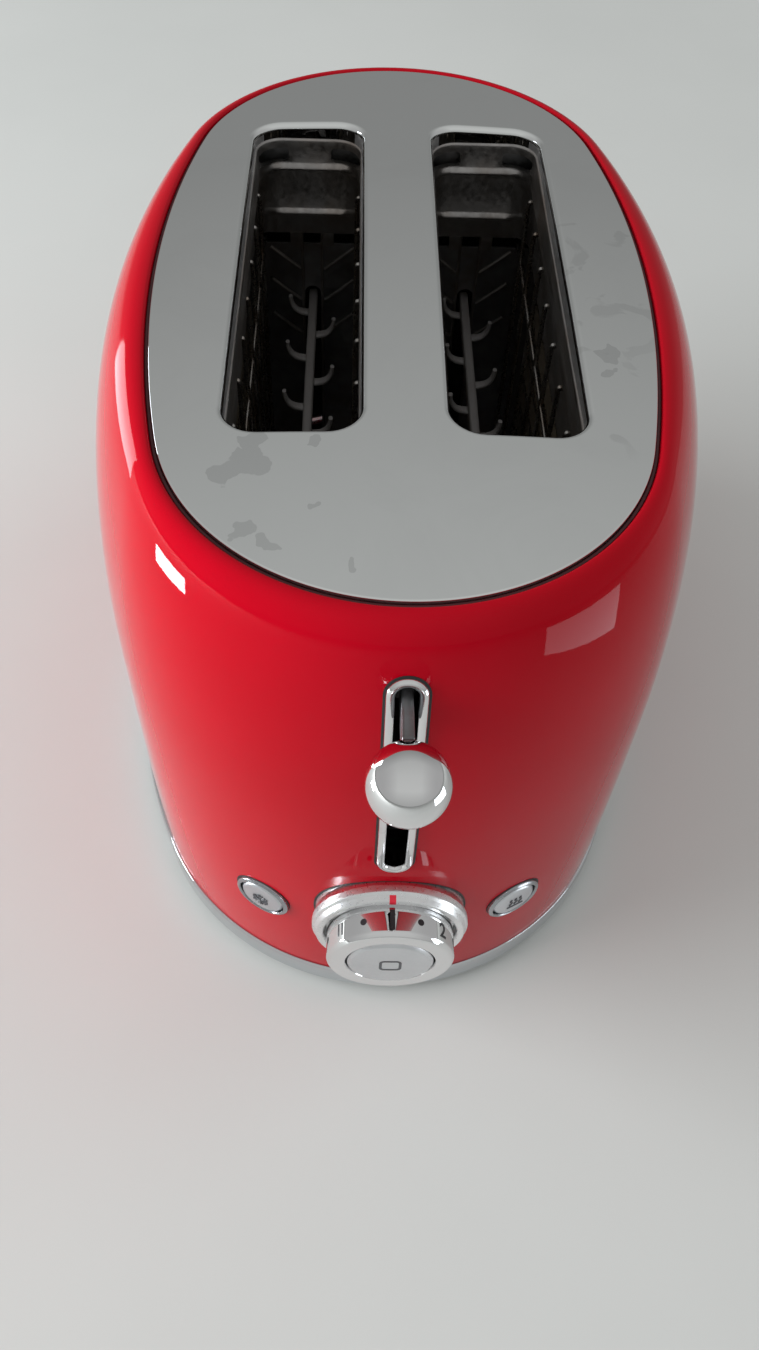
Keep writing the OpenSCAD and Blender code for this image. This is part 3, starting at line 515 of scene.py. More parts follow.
def mica_board():
    m = material("mica_board", (0.30, 0.25, 0.19), 0.5)
    flakes = ranged(m, noise(m, 130, 7, 0.7, 1.2, (1, 1, 0.5)), 0.35, 0.7, 0, 1)
    a = mix_colors(m, flakes, (0.20, 0.165, 0.12), (0.40, 0.34, 0.26))
    scorch = ranged(m, noise(m, 24, 4), 0.5, 0.75, 0, 0.75)
    link(m, mix_colors(m, scorch, a, (0.06, 0.045, 0.035)), shader_of(m).inputs["Base Color"])
    link(m, ranged(m, flakes, 0, 1, 0.35, 0.6), shader_of(m).inputs["Roughness"])
    bump(m, flakes, 0.2, 0.0003)
    return m


def circuit_board():
    m = material("circuit_board", (0.02, 0.11, 0.05), 0.35)
    traces = ranged(m, noise(m, 160, 1, 0.4, 0, (1, 1, 6)), 0.49, 0.52, 0, 1)
    link(m, mix_colors(m, traces, (0.015, 0.09, 0.04), (0.03, 0.16, 0.08)), shader_of(m).inputs["Base Color"])
    bump(m, traces, 0.2, 0.0001)
    return m


def floor_material():
    """A plain pale matt floor."""
    m = material("pale_floor", (0.61, 0.62, 0.61), 0.42, Specular_IOR_Level=0.0)
    tone = ranged(m, noise(m, 3, 4), 0.3, 0.7, 0, 1)
    link(m, mix_colors(m, tone, (0.59, 0.605, 0.59), (0.63, 0.645, 0.63)), shader_of(m).inputs["Base Color"])
    bump(m, noise(m, 300, 3), 0.03, 0.0003)
    return m


RED = red_enamel()
CHROME = mirror_chrome()
WATER_MARKS = [
    (-39.0, -82.0, 5.5), (-43.5, -86.0, 4.5), (-37.0, -76.0, 4.0), (-23.0, -75.0, 3.2), (-40.0, -104.0, 3.6),
    (-34.0, -107.5, 2.6), (-12.7, -115.4, 1.9), (55.5, -38.0, 2.8), (56.0, -45.0, 2.4), (-20.5, -97.0, 1.2)]
PLATE_CHROME = dried_marks(mirror_chrome("plate_chrome", (0.79, 0.805, 0.80), 0.7), WATER_MARKS)
# Painted shade: a darker copy of the mirror chrome for the foot ring, standing for the shadow it sits in near
# the floor.
SHADED_RING_CHROME = mirror_chrome("shaded_ring_chrome", (0.60, 0.62, 0.64))
SATIN = satin_chrome("satin_chrome", (0.86, 0.865, 0.87), 0.3)
STOP_METAL = satin_chrome("stop_metal", (0.70, 0.71, 0.73), 0.34)
BUTTON_RING = satin_chrome("button_ring_metal", (0.40, 0.41, 0.43), 0.22)
BUTTON_METAL = satin_chrome("button_metal", (0.66, 0.68, 0.71), 0.34)
BLACK = plastic("black_plastic", (0.016, 0.016, 0.018), 0.42)
# Black rubber, also used for the thin dark rings that are painted shadow in the gaps round fittings.
BLACK_RUBBER_AND_GAP_SHADOW = plastic("black_rubber_and_gap_shadow", (0.02, 0.02, 0.02), 0.6, 420, 0.25)
MAROON = plastic("maroon_rubber", (0.055, 0.005, 0.008), 0.5, 420, 0.25)
PALE = plastic("pale_plastic", (0.60, 0.63, 0.66), 0.32, 800, 0.06)
MARK_RED = plastic("red_mark_paint", (0.55, 0.01, 0.03), 0.3, 800, 0.05)
MARK_DARK = plastic("dark_mark_paint", (0.012, 0.012, 0.014), 0.4, 800, 0.05)
MARK_GREY = plastic("grey_mark_paint", (0.07, 0.07, 0.078), 0.4, 800, 0.05)
INSIDE = plastic("shell_primer", (0.05, 0.05, 0.052), 0.55, 300)
SHEET = sheet_metal("galvanised_sheet", (0.36, 0.36, 0.365))
LINER = sheet_metal("slot_liner_sheet", (0.40, 0.385, 0.375), 0.42, 0.6, 120)
RACK = plastic("rack_steel", (0.27, 0.255, 0.25), 0.42, 500, 0.05)
FRAME_METAL = satin_chrome("slot_frame_metal", (0.90, 0.90, 0.91), 0.40)
DARK_SHEET = sheet_metal("dark_sheet", (0.24, 0.24, 0.25), 0.42, 0.45, 120)
WIRE = wire_metal()
MICA = mica_board()
RIBBON = wire_metal("nichrome_ribbon", (0.30, 0.26, 0.22))
COPPER = wire_metal("copper_winding", (0.50, 0.22, 0.10))
BRASS = wire_metal("contact_brass", (0.60, 0.43, 0.18))
BOARD = circuit_board()

SLOT_MATERIALS = {
    "red_enamel": RED, "mirror_chrome": CHROME, "satin_chrome": SATIN, "black_plastic": BLACK,
    "pale_plastic": PALE, "red_mark": MARK_RED, "rubber": BLACK_RUBBER_AND_GAP_SHADOW, "galvanised_steel": SHEET,
    "dark_steel": DARK_SHEET, "mica": MICA, "nichrome": RIBBON, "wire": WIRE, "copper": COPPER,
    "circuit_board": BOARD, "brass": BRASS}


def dress_cad_nodes():
    """Every CAD node that stays gets the procedural material of its slot."""
    for part in frame["record"]["subparts"]:
        obj = frame["nodes"][part["node"]]
        obj.data.materials.clear()
        obj.data.materials.append(SLOT_MATERIALS[part["material_slot"]])


# ---------------------------------------------------------------- shell

TOP_ROLL, TOP_LIP = 1.0, 4.0


def shell_rings(skin, side_steps, shoulder_steps, roll=TOP_ROLL):
    """Rings of the shell's skin, from its foot to the rolled edge of its top opening."""
    rings = []
    for i in range(side_steps + 1):
        f = i / side_steps
        b = HALF_L - TUCK * (1 - f) ** 2
        loop = oval(HALF_W - skin, b - skin, END_R - skin)
        rings.append([(x, y, SHELL_Z + (WIDEST_Z - SHELL_Z) * f) for x, y, _, _ in loop])
    outer = oval(HALF_W - skin, HALF_L - skin, END_R - skin)
    inner = oval(RIM_W + roll, RIM_L + roll, RIM_R + roll, RIM_Y)
    for i in range(1, shoulder_steps + 1):
        angle = math.pi / 2 * i / shoulder_steps
        c = max(0.0, math.cos(angle)) ** (2 / SHOULDER_P)
        s = math.sin(angle) ** (2 / SHOULDER_P)
        rings.append([(q[0] + (o[0] - q[0]) * c, q[1] + (o[1] - q[1]) * c,
                       WIDEST_Z + (crown_z(q[0], q[1]) - skin - WIDEST_Z) * s)
                      for o, q in zip(outer, inner)])
    return rings


def rolled_edge(roll, depth, steps=5):
    """The top opening's edge: a quarter turn downward and a short upright lip."""
    loop = oval(RIM_W, RIM_L, RIM_R, RIM_Y)
    rings = []
    for i in range(1, steps + 1):
        t = math.pi / 2 * i / steps
        rings.append([(x + nx * roll * (1 - math.sin(t)), y + ny * roll * (1 - math.sin(t)),
                       crown_z(x + nx * roll, y + ny * roll) - roll * (1 - math.cos(t)))
                      for x, y, nx, ny in loop])
    rings.append([(x, y, z - depth) for x, y, z in rings[-1]])
    return rings


def smooth_shell():
    """The uncut shell: its outer skin, the rolled top edge and an inner skin, closed."""
    outer = shell_rings(0, 22, 40)
    edge = rolled_edge(TOP_ROLL, TOP_LIP)
    inner = shell_rings(WALL, 6, 16, TOP_ROLL + 0.9)
    inner[-1] = [(x, y, z - 3.8) for x, y, z in inner[-1]]
    inner[-2] = [(x, y, z - 1.2) for x, y, z in inner[-2]]
    made = Mesh()
    made.grid(outer + edge + inner[::-1], closed_rows=True)
    return made


def upright_outline(half_w, low, high, n=12):
    """Outline of a vertical slot with round ends, in X and Z, with outward normals."""
    pts = []
    for centre_z, start in ((high - half_w, 0), (low + half_w, 180)):
        for i in range(n + 1):
            t = math.radians(start + 180 * i / n)
            pts.append((half_w * math.cos(t), centre_z + half_w * math.sin(t), math.cos(t), math.sin(t)))
    return pts


def prism_y(outline, y0, y1):
    """A closed prism along Y from points in X and Z."""
    made = Mesh()
    made.capped([[(p[0], y, p[1]) for p in outline] for y in (y0, y1)])
    return made


LEVER_SLOT = (5.2, 95.6, 177.2)
DIAL_HOLE_R = 10.0
BUTTON_R = 7.4
MOUTH_LOW, MOUTH_HIGH, MOUTH_HALF_W = 15.2, 26.0, 55.0
GLAND_Z, GLAND_R = 48.0, 6.0


def tuck_at(z):
    return TUCK * (1 - (z - SHELL_Z) / (WIDEST_Z - SHELL_Z)) ** 2


def button_frame(side):
    """Seat of a side button: centre on the shell, and its sideways, upward and outward directions."""
    out = np.array([side * math.sin(BUTTON_ANGLE), -math.cos(BUTTON_ANGLE), 0.0])
    centre = np.array([0.0, -(HALF_L - tuck_at(BUTTON_Z) - END_R), BUTTON_Z]) + out * END_R
    up = np.array([0.0, 0.0, 1.0])
    return centre, np.cross(up, out), up, out


def lathe_on(mesh, profile, frame_at, segments=96):
    """Turns a profile of (radius, height) about the outward direction of a seat."""
    centre, across, up, out = frame_at
    rows = []
    for r, h in profile:
        rows.append([tuple(centre + out * h + r * (math.cos(t) * across + math.sin(t) * up))
                     for t in turns(segments)])
    mesh.grid(rows)


def cutters():
    """One mesh of all the cut-outs: lever slot, dial and button holes, tray mouth and cord gland."""
    made = Mesh()
    half_w, low, high = LEVER_SLOT
    parts = [prism_y(upright_outline(half_w - 1, low + 1, high - 1), -170, -120)]
    parts.append(prism_y(circle(DIAL_HOLE_R, 64, DIAL_Z), -170, -125))
    for side in (-1, 1):
        hole = Mesh()
        lathe_on(hole, [(0, 8), (BUTTON_R + 1.2, 8), (BUTTON_R + 1.2, -8), (0, -8)], button_frame(side), 64)
        parts.append(hole)
    parts.append(prism_y([(-MOUTH_HALF_W, MOUTH_LOW), (MOUTH_HALF_W, MOUTH_LOW),
                          (MOUTH_HALF_W, MOUTH_HIGH), (-MOUTH_HALF_W, MOUTH_HIGH)], 60, 170))
    parts.append(prism_y(circle(GLAND_R, 48, GLAND_Z), 125, 170))
    for part in parts:
        made.join(part.verts, part.faces)
    return made


class Surface:
    """The uncut shell's BVH tree, points, vertex normals and polygons, in metres."""

    def __init__(self, mesh):
        self.points = [v.co.copy() for v in mesh.vertices]
        self.normals = [v.normal.copy() for v in mesh.vertices]
        self.polygons = [list(p.vertices) for p in mesh.polygons]
        self.tree = BVHTree.FromPolygons(self.points, self.polygons)

    def normal(self, index, co):
        """The smooth normal at a place on a polygon; near corners count for more."""
        corners = self.polygons[index]
        weights = [1 / (1e-9 + (self.points[c] - co).length) for c in corners]
        return sum((self.normals[c] * w for c, w in zip(corners, weights)), Vector()).normalized()


def keep_smooth_normals(obj, surface, limit=0.94):
    """Gives the cut mesh the normals of the uncut surface, so that the cuts don't show in the gloss."""
    mesh = obj.data
    custom = [None] * len(mesh.loops)
    cache = {}
    for polygon in mesh.polygons:
        for k in polygon.loop_indices:
            v = mesh.loops[k].vertex_index
            if v not in cache:
                co = mesh.vertices[v].co
                cache[v] = surface.normal(surface.tree.find_nearest(co)[2], co)
            custom[k] = cache[v] if cache[v].dot(polygon.normal) > limit else polygon.normal.copy()
    mesh.normals_split_custom_set(custom)


INSIDE_TOP = 0.188
uncut = smooth_shell()
shell = outward(new_object("shell_enamel", uncut.verts, uncut.faces, RED))
shell.data.update()
SURFACE = Surface(shell.data)
knife = cutters()
cutter = outward(new_object("cutter", knife.verts, knife.faces, RED))
cut_away(shell, cutter)
keep_smooth_normals(shell, SURFACE)
shell.data.materials.append(INSIDE)
for face in shell.data.polygons:
    out = face.center.copy()
    out.z = 0
    out.y -= BODY_Y * MM
    if face.normal.dot(out) < -0.2 * out.length and face.center.z < INSIDE_TOP:
        face.material_index = 1
place(shell, "root", "red_enamel", "body_shell")


RAY_FROM_Y = -400.0


def on_shell(x, z):
    """Point and normal of the shell's front end, in millimetres, over a place in X and Z."""
    origin = Vector((x * MM, (RAY_FROM_Y + BODY_Y) * MM, z * MM))
    hit, _, index, _ = SURFACE.tree.ray_cast(origin, Vector((0, 1, 0)))
    return np.array((hit.x / MM, hit.y / MM - BODY_Y, hit.z / MM)), np.array(SURFACE.normal(index, hit))


# ---------------------------------------------------------------- top plate

PLATE_ROLL, PLATE_GAP = 0.5, 1.15
SLOT_ROLL_W, SLOT_ROLL_H, SLOT_WALL = 1.9, 2.2, 6.0
LIP_HALF_W, LIP_HALF_L, LIP_R = SLOT_HALF_W - SLOT_ROLL_W, SLOT_HALF_L - SLOT_ROLL_W, 9.0
# Section of a slot's frame: distance out from its inner wall, height over the plate, and normal
WALL_SECTION = [(0.5, -SLOT_WALL - 0.4, -1, 0.1), (-0.3, -SLOT_WALL, -1, 0.1), (-0.1, -5, -1, 0.06),
                (0.0, -SLOT_ROLL_H, -1, 0)]
LIP_SECTION = [(SLOT_ROLL_W * (1 - math.cos(t)), -SLOT_ROLL_H * (1 - math.sin(t)),
                -math.cos(t) / SLOT_ROLL_W, math.sin(t) / SLOT_ROLL_H)
               for t in (math.pi / 2 * i / 14 for i in range(15))]
# Section of the plate's own edge: distance out from its flat part, drop and normal
EDGE_SECTION = [(PLATE_ROLL * math.sin(t), -PLATE_ROLL * (1 - math.cos(t)), math.sin(t), math.cos(t))
                for t in (math.pi / 2 * i / 8 for i in range(9))]
EDGE_SECTION += [(PLATE_ROLL, -4, 1, 0), (PLATE_ROLL, -9, 1, 0)]


def swept_section(mesh, loop, section):
    """Sweeps a section round a loop on the crowned plate."""
    rows, normals = [], []
    for out, height, n_out, n_up in section:
        row, row_normals = [], []
        for x, y, nx, ny in loop:
            px, py = x + nx * out, y + ny * out
            gx, gy = crown_slope(px, py)
            row.append((px, py, crown_z(px, py) + height))
            n_out, n_up = unit((n_out, n_up))
            row_normals.append(unit((nx * n_out - gx * n_up, ny * n_out - gy * n_up, n_up)))
        rows.append(row)
        normals.append(row_normals)
    mesh.grid(rows, normals=normals)


def slot_loop(side, out=0.0):
    return rounded_rectangle(LIP_HALF_W + out, LIP_HALF_L + out, LIP_R + out, (side * SLOT_X, SLOT_Y))


def top_plate():
    made = Mesh()
    inset = PLATE_GAP + PLATE_ROLL
    edge = oval(RIM_W - inset, RIM_L - inset, RIM_R - inset, RIM_Y)
    swept_section(made, edge, EDGE_SECTION)
    loops = [[(x, y) for x, y, _, _ in edge]]
    for side in (-1, 1):
        slot = slot_loop(side)
        swept_section(made, slot, LIP_SECTION)
        reach = LIP_SECTION[-1][0]
        loops.append([(x + nx * reach, y + ny * reach) for x, y, nx, ny in slot])
    points = [p for loop in loops for p in loop]
    edges, start = [], 0
    for loop in loops:
        edges += [(start + i, start + (i + 1) % len(loop)) for i in range(len(loop))]
        start += len(loop)
    s = side_radius(edge[0][0], RIM_L - inset, RIM_R - inset)
    for gx in np.arange(-75, 76, 3.0):
        for gy in np.arange(-129, 130, 3.0):
            if inside_plate(gx, gy, inset + 1.5, s):
                points.append((gx, gy))
    verts, _, faces, _, _, _ = geometry.delaunay_2d_cdt([Vector(p) for p in points], edges, [], 1, 1e-5)
    for f in faces:
        cx = sum(verts[i].x for i in f) / len(f)
        cy = sum(verts[i].y for i in f) / len(f)
        if slot_distance(cx, cy) < SLOT_ROLL_W - 0.01:
            continue
        ids = []
        for i in f:
            x, y = verts[i].x, verts[i].y
            gx, gy = crown_slope(x, y)
            ids.append(made.vertex((x, y, crown_z(x, y)), unit((-gx, -gy, 1))))
        made.face(*ids)
    return made


def slot_distance(x, y):
    """Distance outside a bread slot's inner wall in plan; negative inside it."""
    dx = abs(abs(x) - SLOT_X) - (LIP_HALF_W - LIP_R)
    dy = abs(y - SLOT_Y) - (LIP_HALF_L - LIP_R)
    return math.hypot(max(dx, 0), max(dy, 0)) + min(max(dx, dy), 0) - LIP_R


def inside_plate(x, y, margin, s):
    """Whether a grid point lies on the plate's flat part, clear of its edge and of the slots."""
    a, b, r = RIM_W - margin, RIM_L - margin, RIM_R - margin
    v = abs(y - RIM_Y)
    big = side_radius(a, b, r)
    in_side = math.hypot(abs(x) + big - a, v) < big
    in_end = math.hypot(x, v - (b - r)) < r or v < b - r
    return in_side and in_end and v < b and slot_distance(x, y) > SLOT_ROLL_W + 1.2


def with_normals(obj, normals):
    """Uses the normals that the formula gives, with every face turned to agree with them."""
    b = bmesh.new()
    b.from_mesh(obj.data)
    b.normal_update()
    wrong = [f for f in b.faces if sum(np.dot(normals[v.index], f.normal) for v in f.verts) < 0]
    bmesh.ops.reverse_faces(b, faces=wrong)
    b.to_mesh(obj.data)
    b.free()
    obj.data.normals_split_custom_set_from_vertices(normals)
    return obj


plate = top_plate()
plate_obj = new_object("top_plate_mirror", plate.verts, plate.faces, PLATE_CHROME)
with_normals(plate_obj, plate.normals)
place(plate_obj, "root", "mirror_chrome", "top_plate")

for side, word in SIDES:
    wall = Mesh()
    swept_section(wall, slot_loop(side), WALL_SECTION)
    wall_obj = new_object(word + "_slot_frame", wall.verts, wall.faces, FRAME_METAL)
    with_normals(wall_obj, wall.normals)
    wall_obj.data.materials.append(PLATE_CHROME)
    for face in wall_obj.data.polygons:
        face.material_index = 1 if abs(face.normal.y) > 0.7 else 0
    place(wall_obj, "root", "mirror_chrome", word + "_slot_collar")

GASKET_DROP = 1.5


def gasket():
    """A dark bead that fills the joint between the plate and the shell, a little below both."""
    made = Mesh()
    mid = (PLATE_GAP - 0.05) / 2
    loop = oval(RIM_W - PLATE_GAP / 2, RIM_L - PLATE_GAP / 2, RIM_R - PLATE_GAP / 2, RIM_Y)
    rows = []
    section = [(-mid, -6.0)] + [(-mid * math.cos(t), -GASKET_DROP + 0.45 * math.sin(t))
                                for t in (math.pi * i / 8 for i in range(9))] + [(mid, -6.0)]
    for out, height in section:
        rows.append([(x + nx * out, y + ny * out, crown_z(x, y) + height) for x, y, nx, ny in loop])
    made.grid(rows, closed_rows=True)
    return made


bead = gasket()
piece("joint_gasket", bead, MAROON, 50, "root", "rubber", "top_gasket")

# ---------------------------------------------------------------- inside the bread slots

LINER_TOP, LINER_FOOT, LINER_NECK = 188.4, 154.0, 174.0
LINER_BEADS = (178.5, 162.0)
LINER_VENT_Z, LINER_VENT_X = 183.0, 12.2
LINER_VENT_HALF_W, LINER_VENT_HALF_H = 5.0, 2.4
LINER_VENT_ENDS = ((-90, -62), (74, 100))


def liner_section(end):
    """Outline of the liner's sheet as (distance out, height); its beads fade out along the sides."""
    side = 1 - end
    section = [(1.9 + 0.9, LINER_FOOT), (1.9 + 0.9, LINER_NECK - 2),
               (0.9, LINER_NECK + 3), (0.9, LINER_TOP - 0.9)]
    section += [(0.1 - 0.8 * math.cos(t), LINER_TOP - 0.8 + 0.8 * math.sin(t))
                for t in np.linspace(math.pi, 0, 9)]
    section += [(-0.7, LINER_TOP - 2.0)]
    for z in LINER_BEADS:
        foot = -0.7 if z > LINER_NECK else -0.7 + 2.6 * side
        section += [(foot, z + 1.8), (foot - 0.25 * end, z + 1.3), (foot - 1.0 * end, z + 0.6),
                    (foot - 1.15 * end, z), (foot - 0.9 * end, z - 0.6), (foot, z - 1.1)]
        if z > LINER_NECK:
            section += [(-0.7, LINER_NECK + 3), (-0.7 + 2.6 * side, LINER_NECK - 2)]
    last = -0.7 + 2.6 * side
    return section + [(last, LINER_FOOT + 0.4), (last + 0.4, LINER_FOOT - 0.2)]


def liner(side):
    """Sheet frame below a slot: a rolled top edge, two pressed beads at each end and room for the wires."""
    made = Mesh()
    loop = slot_loop(side)
    sections = [liner_section(min(1.0, max(0.0, (abs(ny) - 0.75) / 0.2))) for _, _, _, ny in loop]
    rows = [[(x + nx * sections[i][k][0], y + ny * sections[i][k][0], sections[i][k][1])
             for i, (x, y, nx, ny) in enumerate(loop)] for k in range(len(sections[0]))]
    made.grid(rows, closed_rows=True)
    return made


for side, word in SIDES:
    sheet = liner(side)
    obj = outward(new_object(word + "_liner_sheet", sheet.verts, sheet.faces, LINER, 35))
    for dx in (-1, 1):
        for y0, y1 in LINER_VENT_ENDS:
            x = side * SLOT_X + dx * LINER_VENT_X
            hole = Mesh()
            block(hole, (x - LINER_VENT_HALF_W, y0, LINER_VENT_Z - LINER_VENT_HALF_H),
                  (x + LINER_VENT_HALF_W, y1, LINER_VENT_Z + LINER_VENT_HALF_H), 1.2)
            cut_away(obj, outward(new_object("vent", hole.verts, hole.faces, LINER)))
    obj.data.set_sharp_from_angle(angle=math.radians(35))
    place(obj, "root", "dark_steel", word + "_slot_liner")


def strip(mesh, path, half_ws, half_t, up=(0, 1, 0)):
    """A flat bar along a path in X and Z with rounded edges; its width lies along up."""
    pts = [np.array(p, float) for p in path]
    wide = np.array(up, float)
    rows = []
    for i, p in enumerate(pts):
        a, b = pts[max(i - 1, 0)], pts[min(i + 1, len(pts) - 1)]
        d = (b - a) / np.linalg.norm(b - a)
        n = np.cross(d, wide)
        w, t, e = half_ws[i], half_t, min(half_t, half_ws[i]) * 0.6
        corner = [(w, t - e), (w - e, t), (-w + e, t), (-w, t - e),
                  (-w, -t + e), (-w + e, -t), (w - e, -t), (w, -t + e)]
        rows.append([tuple(p + wide * c[0] + n * c[1]) for c in corner])
    mesh.capped(rows)


RACK_Z, RACK_H, RACK_HALF_T = 117.0, 6.0, 1.6
RACK_Y = (-90.4, 94.0)
FINGER_Y, FINGER_PITCH, FINGERS, FINGER_REACH, FINGER_RISE = -57.0, 14.0, 11, 8.3, 10.6


def bread_rack(side):
    """A rail with rounded edges and fingers that curve upward, to the left and the right in turn."""
    made = Mesh()
    block(made, (side * SLOT_X - RACK_HALF_T, RACK_Y[0], RACK_Z),
          (side * SLOT_X + RACK_HALF_T, RACK_Y[1], RACK_Z + RACK_H), 0.7)
    for i in range(FINGERS):
        turn = -1 if i % 2 == 0 else 1
        y = FINGER_Y + i * FINGER_PITCH
        path, widths = [], []
        for k in range(11):
            f = k / 10
            out = 1.0 + (FINGER_REACH - 1.0) * math.sin(f * math.pi / 2) ** 0.9
            path.append((side * SLOT_X + turn * out, y, RACK_Z + 2.6 + (FINGER_RISE - 3.4) * f ** 2.2))
            widths.append(1.9 - 0.9 * f)
        strip(made, path, widths, 0.7)
    return made


for side, word in SIDES:
    rack = bread_rack(side)
    piece(word + "_rack", rack, RACK, 45, "carriage", "wire",
          word + "_bread_rack")

GUARD_X, GUARD_R, GUARD_Y, GUARD_PITCH, GUARD_COUNT = (13.0, 46.8), 0.8, -64.0, 20.0, 8
GUARD_RAILS, GUARD_LOW, GUARD_HOOK_Z = (44.0, 148.0), 40.5, 170.0
GUARD_ENDS = (-79.8, 91.8)


def guard(x, out):
    """Two rails with uprights whose tops bend over outward into small hooks."""
    made = Mesh()
    for z in GUARD_RAILS:
        tube(made, [(x, y, z) for y in (GUARD_ENDS[0], -40, 0, 50, GUARD_ENDS[1])], GUARD_R, 10)
    for i in range(GUARD_COUNT):
        y = GUARD_Y + i * GUARD_PITCH
        bend = [(x + out * 0.75 * (1 - math.cos(t)), y, GUARD_HOOK_Z + 1.3 * math.sin(t))
                for t in np.linspace(0, math.pi * 0.8, 7)]
        tube(made, [(x, y, GUARD_LOW), (x, y, 90), (x, y, 140)] + bend, GUARD_R, 10)
    return made


for side, word in SIDES:
    for where, x, out in (("outer", GUARD_X[1], side), ("inner", GUARD_X[0], -side)):
        wires = guard(side * x, out)
        name = "%s_%s" % (word, where)
        piece(name + "_wires", wires, WIRE, 60, name + "_grille", "wire",
              name + "_guard")

REAR_WALL_Y, FRONT_WALL_Y = 88.0, -76.0
RIB_Z, SILL_Z, WINDOW_Z = (135.5, 122.0, 107.0), 158.2, (145.0, 151.0)


def end_wall_relief(y):
    """Pressed V ribs, a framed rack slot and window rims on a bulkhead, inside one bread slot each."""
    made = Mesh()
    for side in (-1, 1):
        cx = side * SLOT_X
        for turn in (-1, 1):
            for z in RIB_Z:
                path = [(cx + turn * 15.5, y, z + 9), (cx + turn * 9, y, z + 3.5), (cx + turn * 4.6, y, z)]
                tube(made, fillet(path, [0, 4, 0], 5), 0.75, 8)
            tube(made, [(cx + turn * 3.6, y, z) for z in (152, 120, 60)], 0.55, 8)
        tube(made, [(cx - 15.8, y, SILL_Z), (cx, y, SILL_Z), (cx + 15.8, y, SILL_Z)], 0.8, 8)
        for x0, x1 in ((-8.0, -3.4), (3.4, 8.0)):
            block(made, (cx + x0, y - 0.3, WINDOW_Z[0]), (cx + x1, y + 0.3, WINDOW_Z[1]), 0.2)
    return made


for name, y in (("rear", REAR_WALL_Y - 0.2), ("front", FRONT_WALL_Y + 0.2)):
    relief = end_wall_relief(y)
    piece(name + "_wall_ribs", relief, LINER, 60, "root",
          "galvanised_steel")

# ---------------------------------------------------------------- foot ring

RING_SECTION = fillet([(-2.0, 4.2), (0.3, 4.0), (0.9, 5.0), (0.9, 12.2), (0.5, 13.8), (-1.5, 13.8)],
                      [0, 0.5, 0.8, 1.2, 0.3, 0], 6)


def foot_ring():
    made = Mesh()
    loop = oval(HALF_W, HALF_L - TUCK, END_R)
    rows = [[(x + nx * o, y + ny * o, z) for x, y, nx, ny in loop] for o, z in RING_SECTION]
    made.grid(rows, closed_rows=True)
    return made


ring = foot_ring()
# The foot ring takes the darker chrome, which is painted shade near the floor.
piece("foot_ring", ring, SHADED_RING_CHROME, 50, "root", "mirror_chrome", "base_ring")

# ---------------------------------------------------------------- lever slot trim

TRIM_HALF = 1.25
TRIM_SECTION = [(-TRIM_HALF, -4.0)] + [
    (-TRIM_HALF * math.cos(t), 1.35 * math.sin(t) + 0.1) for t in (math.pi * i / 14 for i in range(15))
] + [(TRIM_HALF, -0.4)]


def shell_sweep(outline, section):
    """Sweeps a section of (distance out, height) along an outline on the shell's front end.

    The outline has points and outward directions in X and Z.
    """
    made = Mesh()
    rows = []
    for x, z, nx, nz in outline:
        p, n = on_shell(x, z)
        out = np.array([nx, 0, nz])
        out = np.array(unit(out - n * (out @ n)))
        rows.append([tuple(p + out * o + n * h) for o, h in section])
    made.grid(rows, closed_rows=True)
    return made


def lever_outline(out):
    """The lever slot's outline, moved outward, with its straight sides divided."""
    half_w, low, high = LEVER_SLOT
    ends = upright_outline(half_w + out, low - out, high + out, 16)
    outline = []
    for p, q in zip(ends, ends[1:] + ends[:1]):
        outline.append(p)
        if abs(p[1] - q[1]) > LONG_SIDE:
            outline += [(p[0], p[1] + (q[1] - p[1]) * k / SIDE_PARTS, p[2], 0.0)
                        for k in range(1, SIDE_PARTS)]
    return outline


LONG_SIDE, SIDE_PARTS = 10, 24
trim = shell_sweep(lever_outline(-TRIM_HALF), TRIM_SECTION)
piece("lever_slot_frame", trim, CHROME, 50, "root", "mirror_chrome", "lever_slot_trim")

# Painted shadow: thin dark rings on the enamel stand for the shade in the gaps round the lever slot frame,
# the dial flange and the side buttons.
GAP_SHADOW_HALF, GAP_SHADOW_HEIGHT, GAP_SHADOW_FOOT = 0.3, 0.14, -0.3
GAP_SHADOW_SECTION = [(-GAP_SHADOW_HALF, GAP_SHADOW_FOOT), (-GAP_SHADOW_HALF, GAP_SHADOW_HEIGHT),
                (GAP_SHADOW_HALF, GAP_SHADOW_HEIGHT), (GAP_SHADOW_HALF, GAP_SHADOW_FOOT)]


def gap_shadow_ring(name, outline):
    """A thin dark ring on the shell round a fitting: a painted shadow standing for the shade in the gap
    beside it.
    """
    piece(name, shell_sweep(outline, GAP_SHADOW_SECTION), BLACK_RUBBER_AND_GAP_SHADOW, 50, "root", "rubber")


def oblique_circle(centre, across, up, r, n=72):
    """A circle square to a seat, as points and outward directions in X and Z."""
    rays = []
    for k in range(n):
        c, d = math.cos(2 * math.pi * k / n), math.sin(2 * math.pi * k / n)
        rays.append((c * across[0] + d * up[0], c * across[2] + d * up[2]))
    return [(centre[0] + r * u, centre[2] + r * v, u, v) for u, v in rays]


# Painted shadow rings round the lever slot, the dial and both buttons.
gap_shadow_ring("lever_slot_gap_shadow", lever_outline(0.25))
gap_shadow_ring("dial_gap_shadow", oblique_circle((0, 0, DIAL_Z), (1, 0, 0), (0, 0, 1), 22.95, 120))
for side, word in SIDES:
    seat_centre, seat_across, seat_up, _ = button_frame(side)
    gap_shadow_ring(word + "_button_gap_shadow", oblique_circle(seat_centre, seat_across, seat_up, 9.35))

# ---------------------------------------------------------------- lever

BALL_R = 10.0


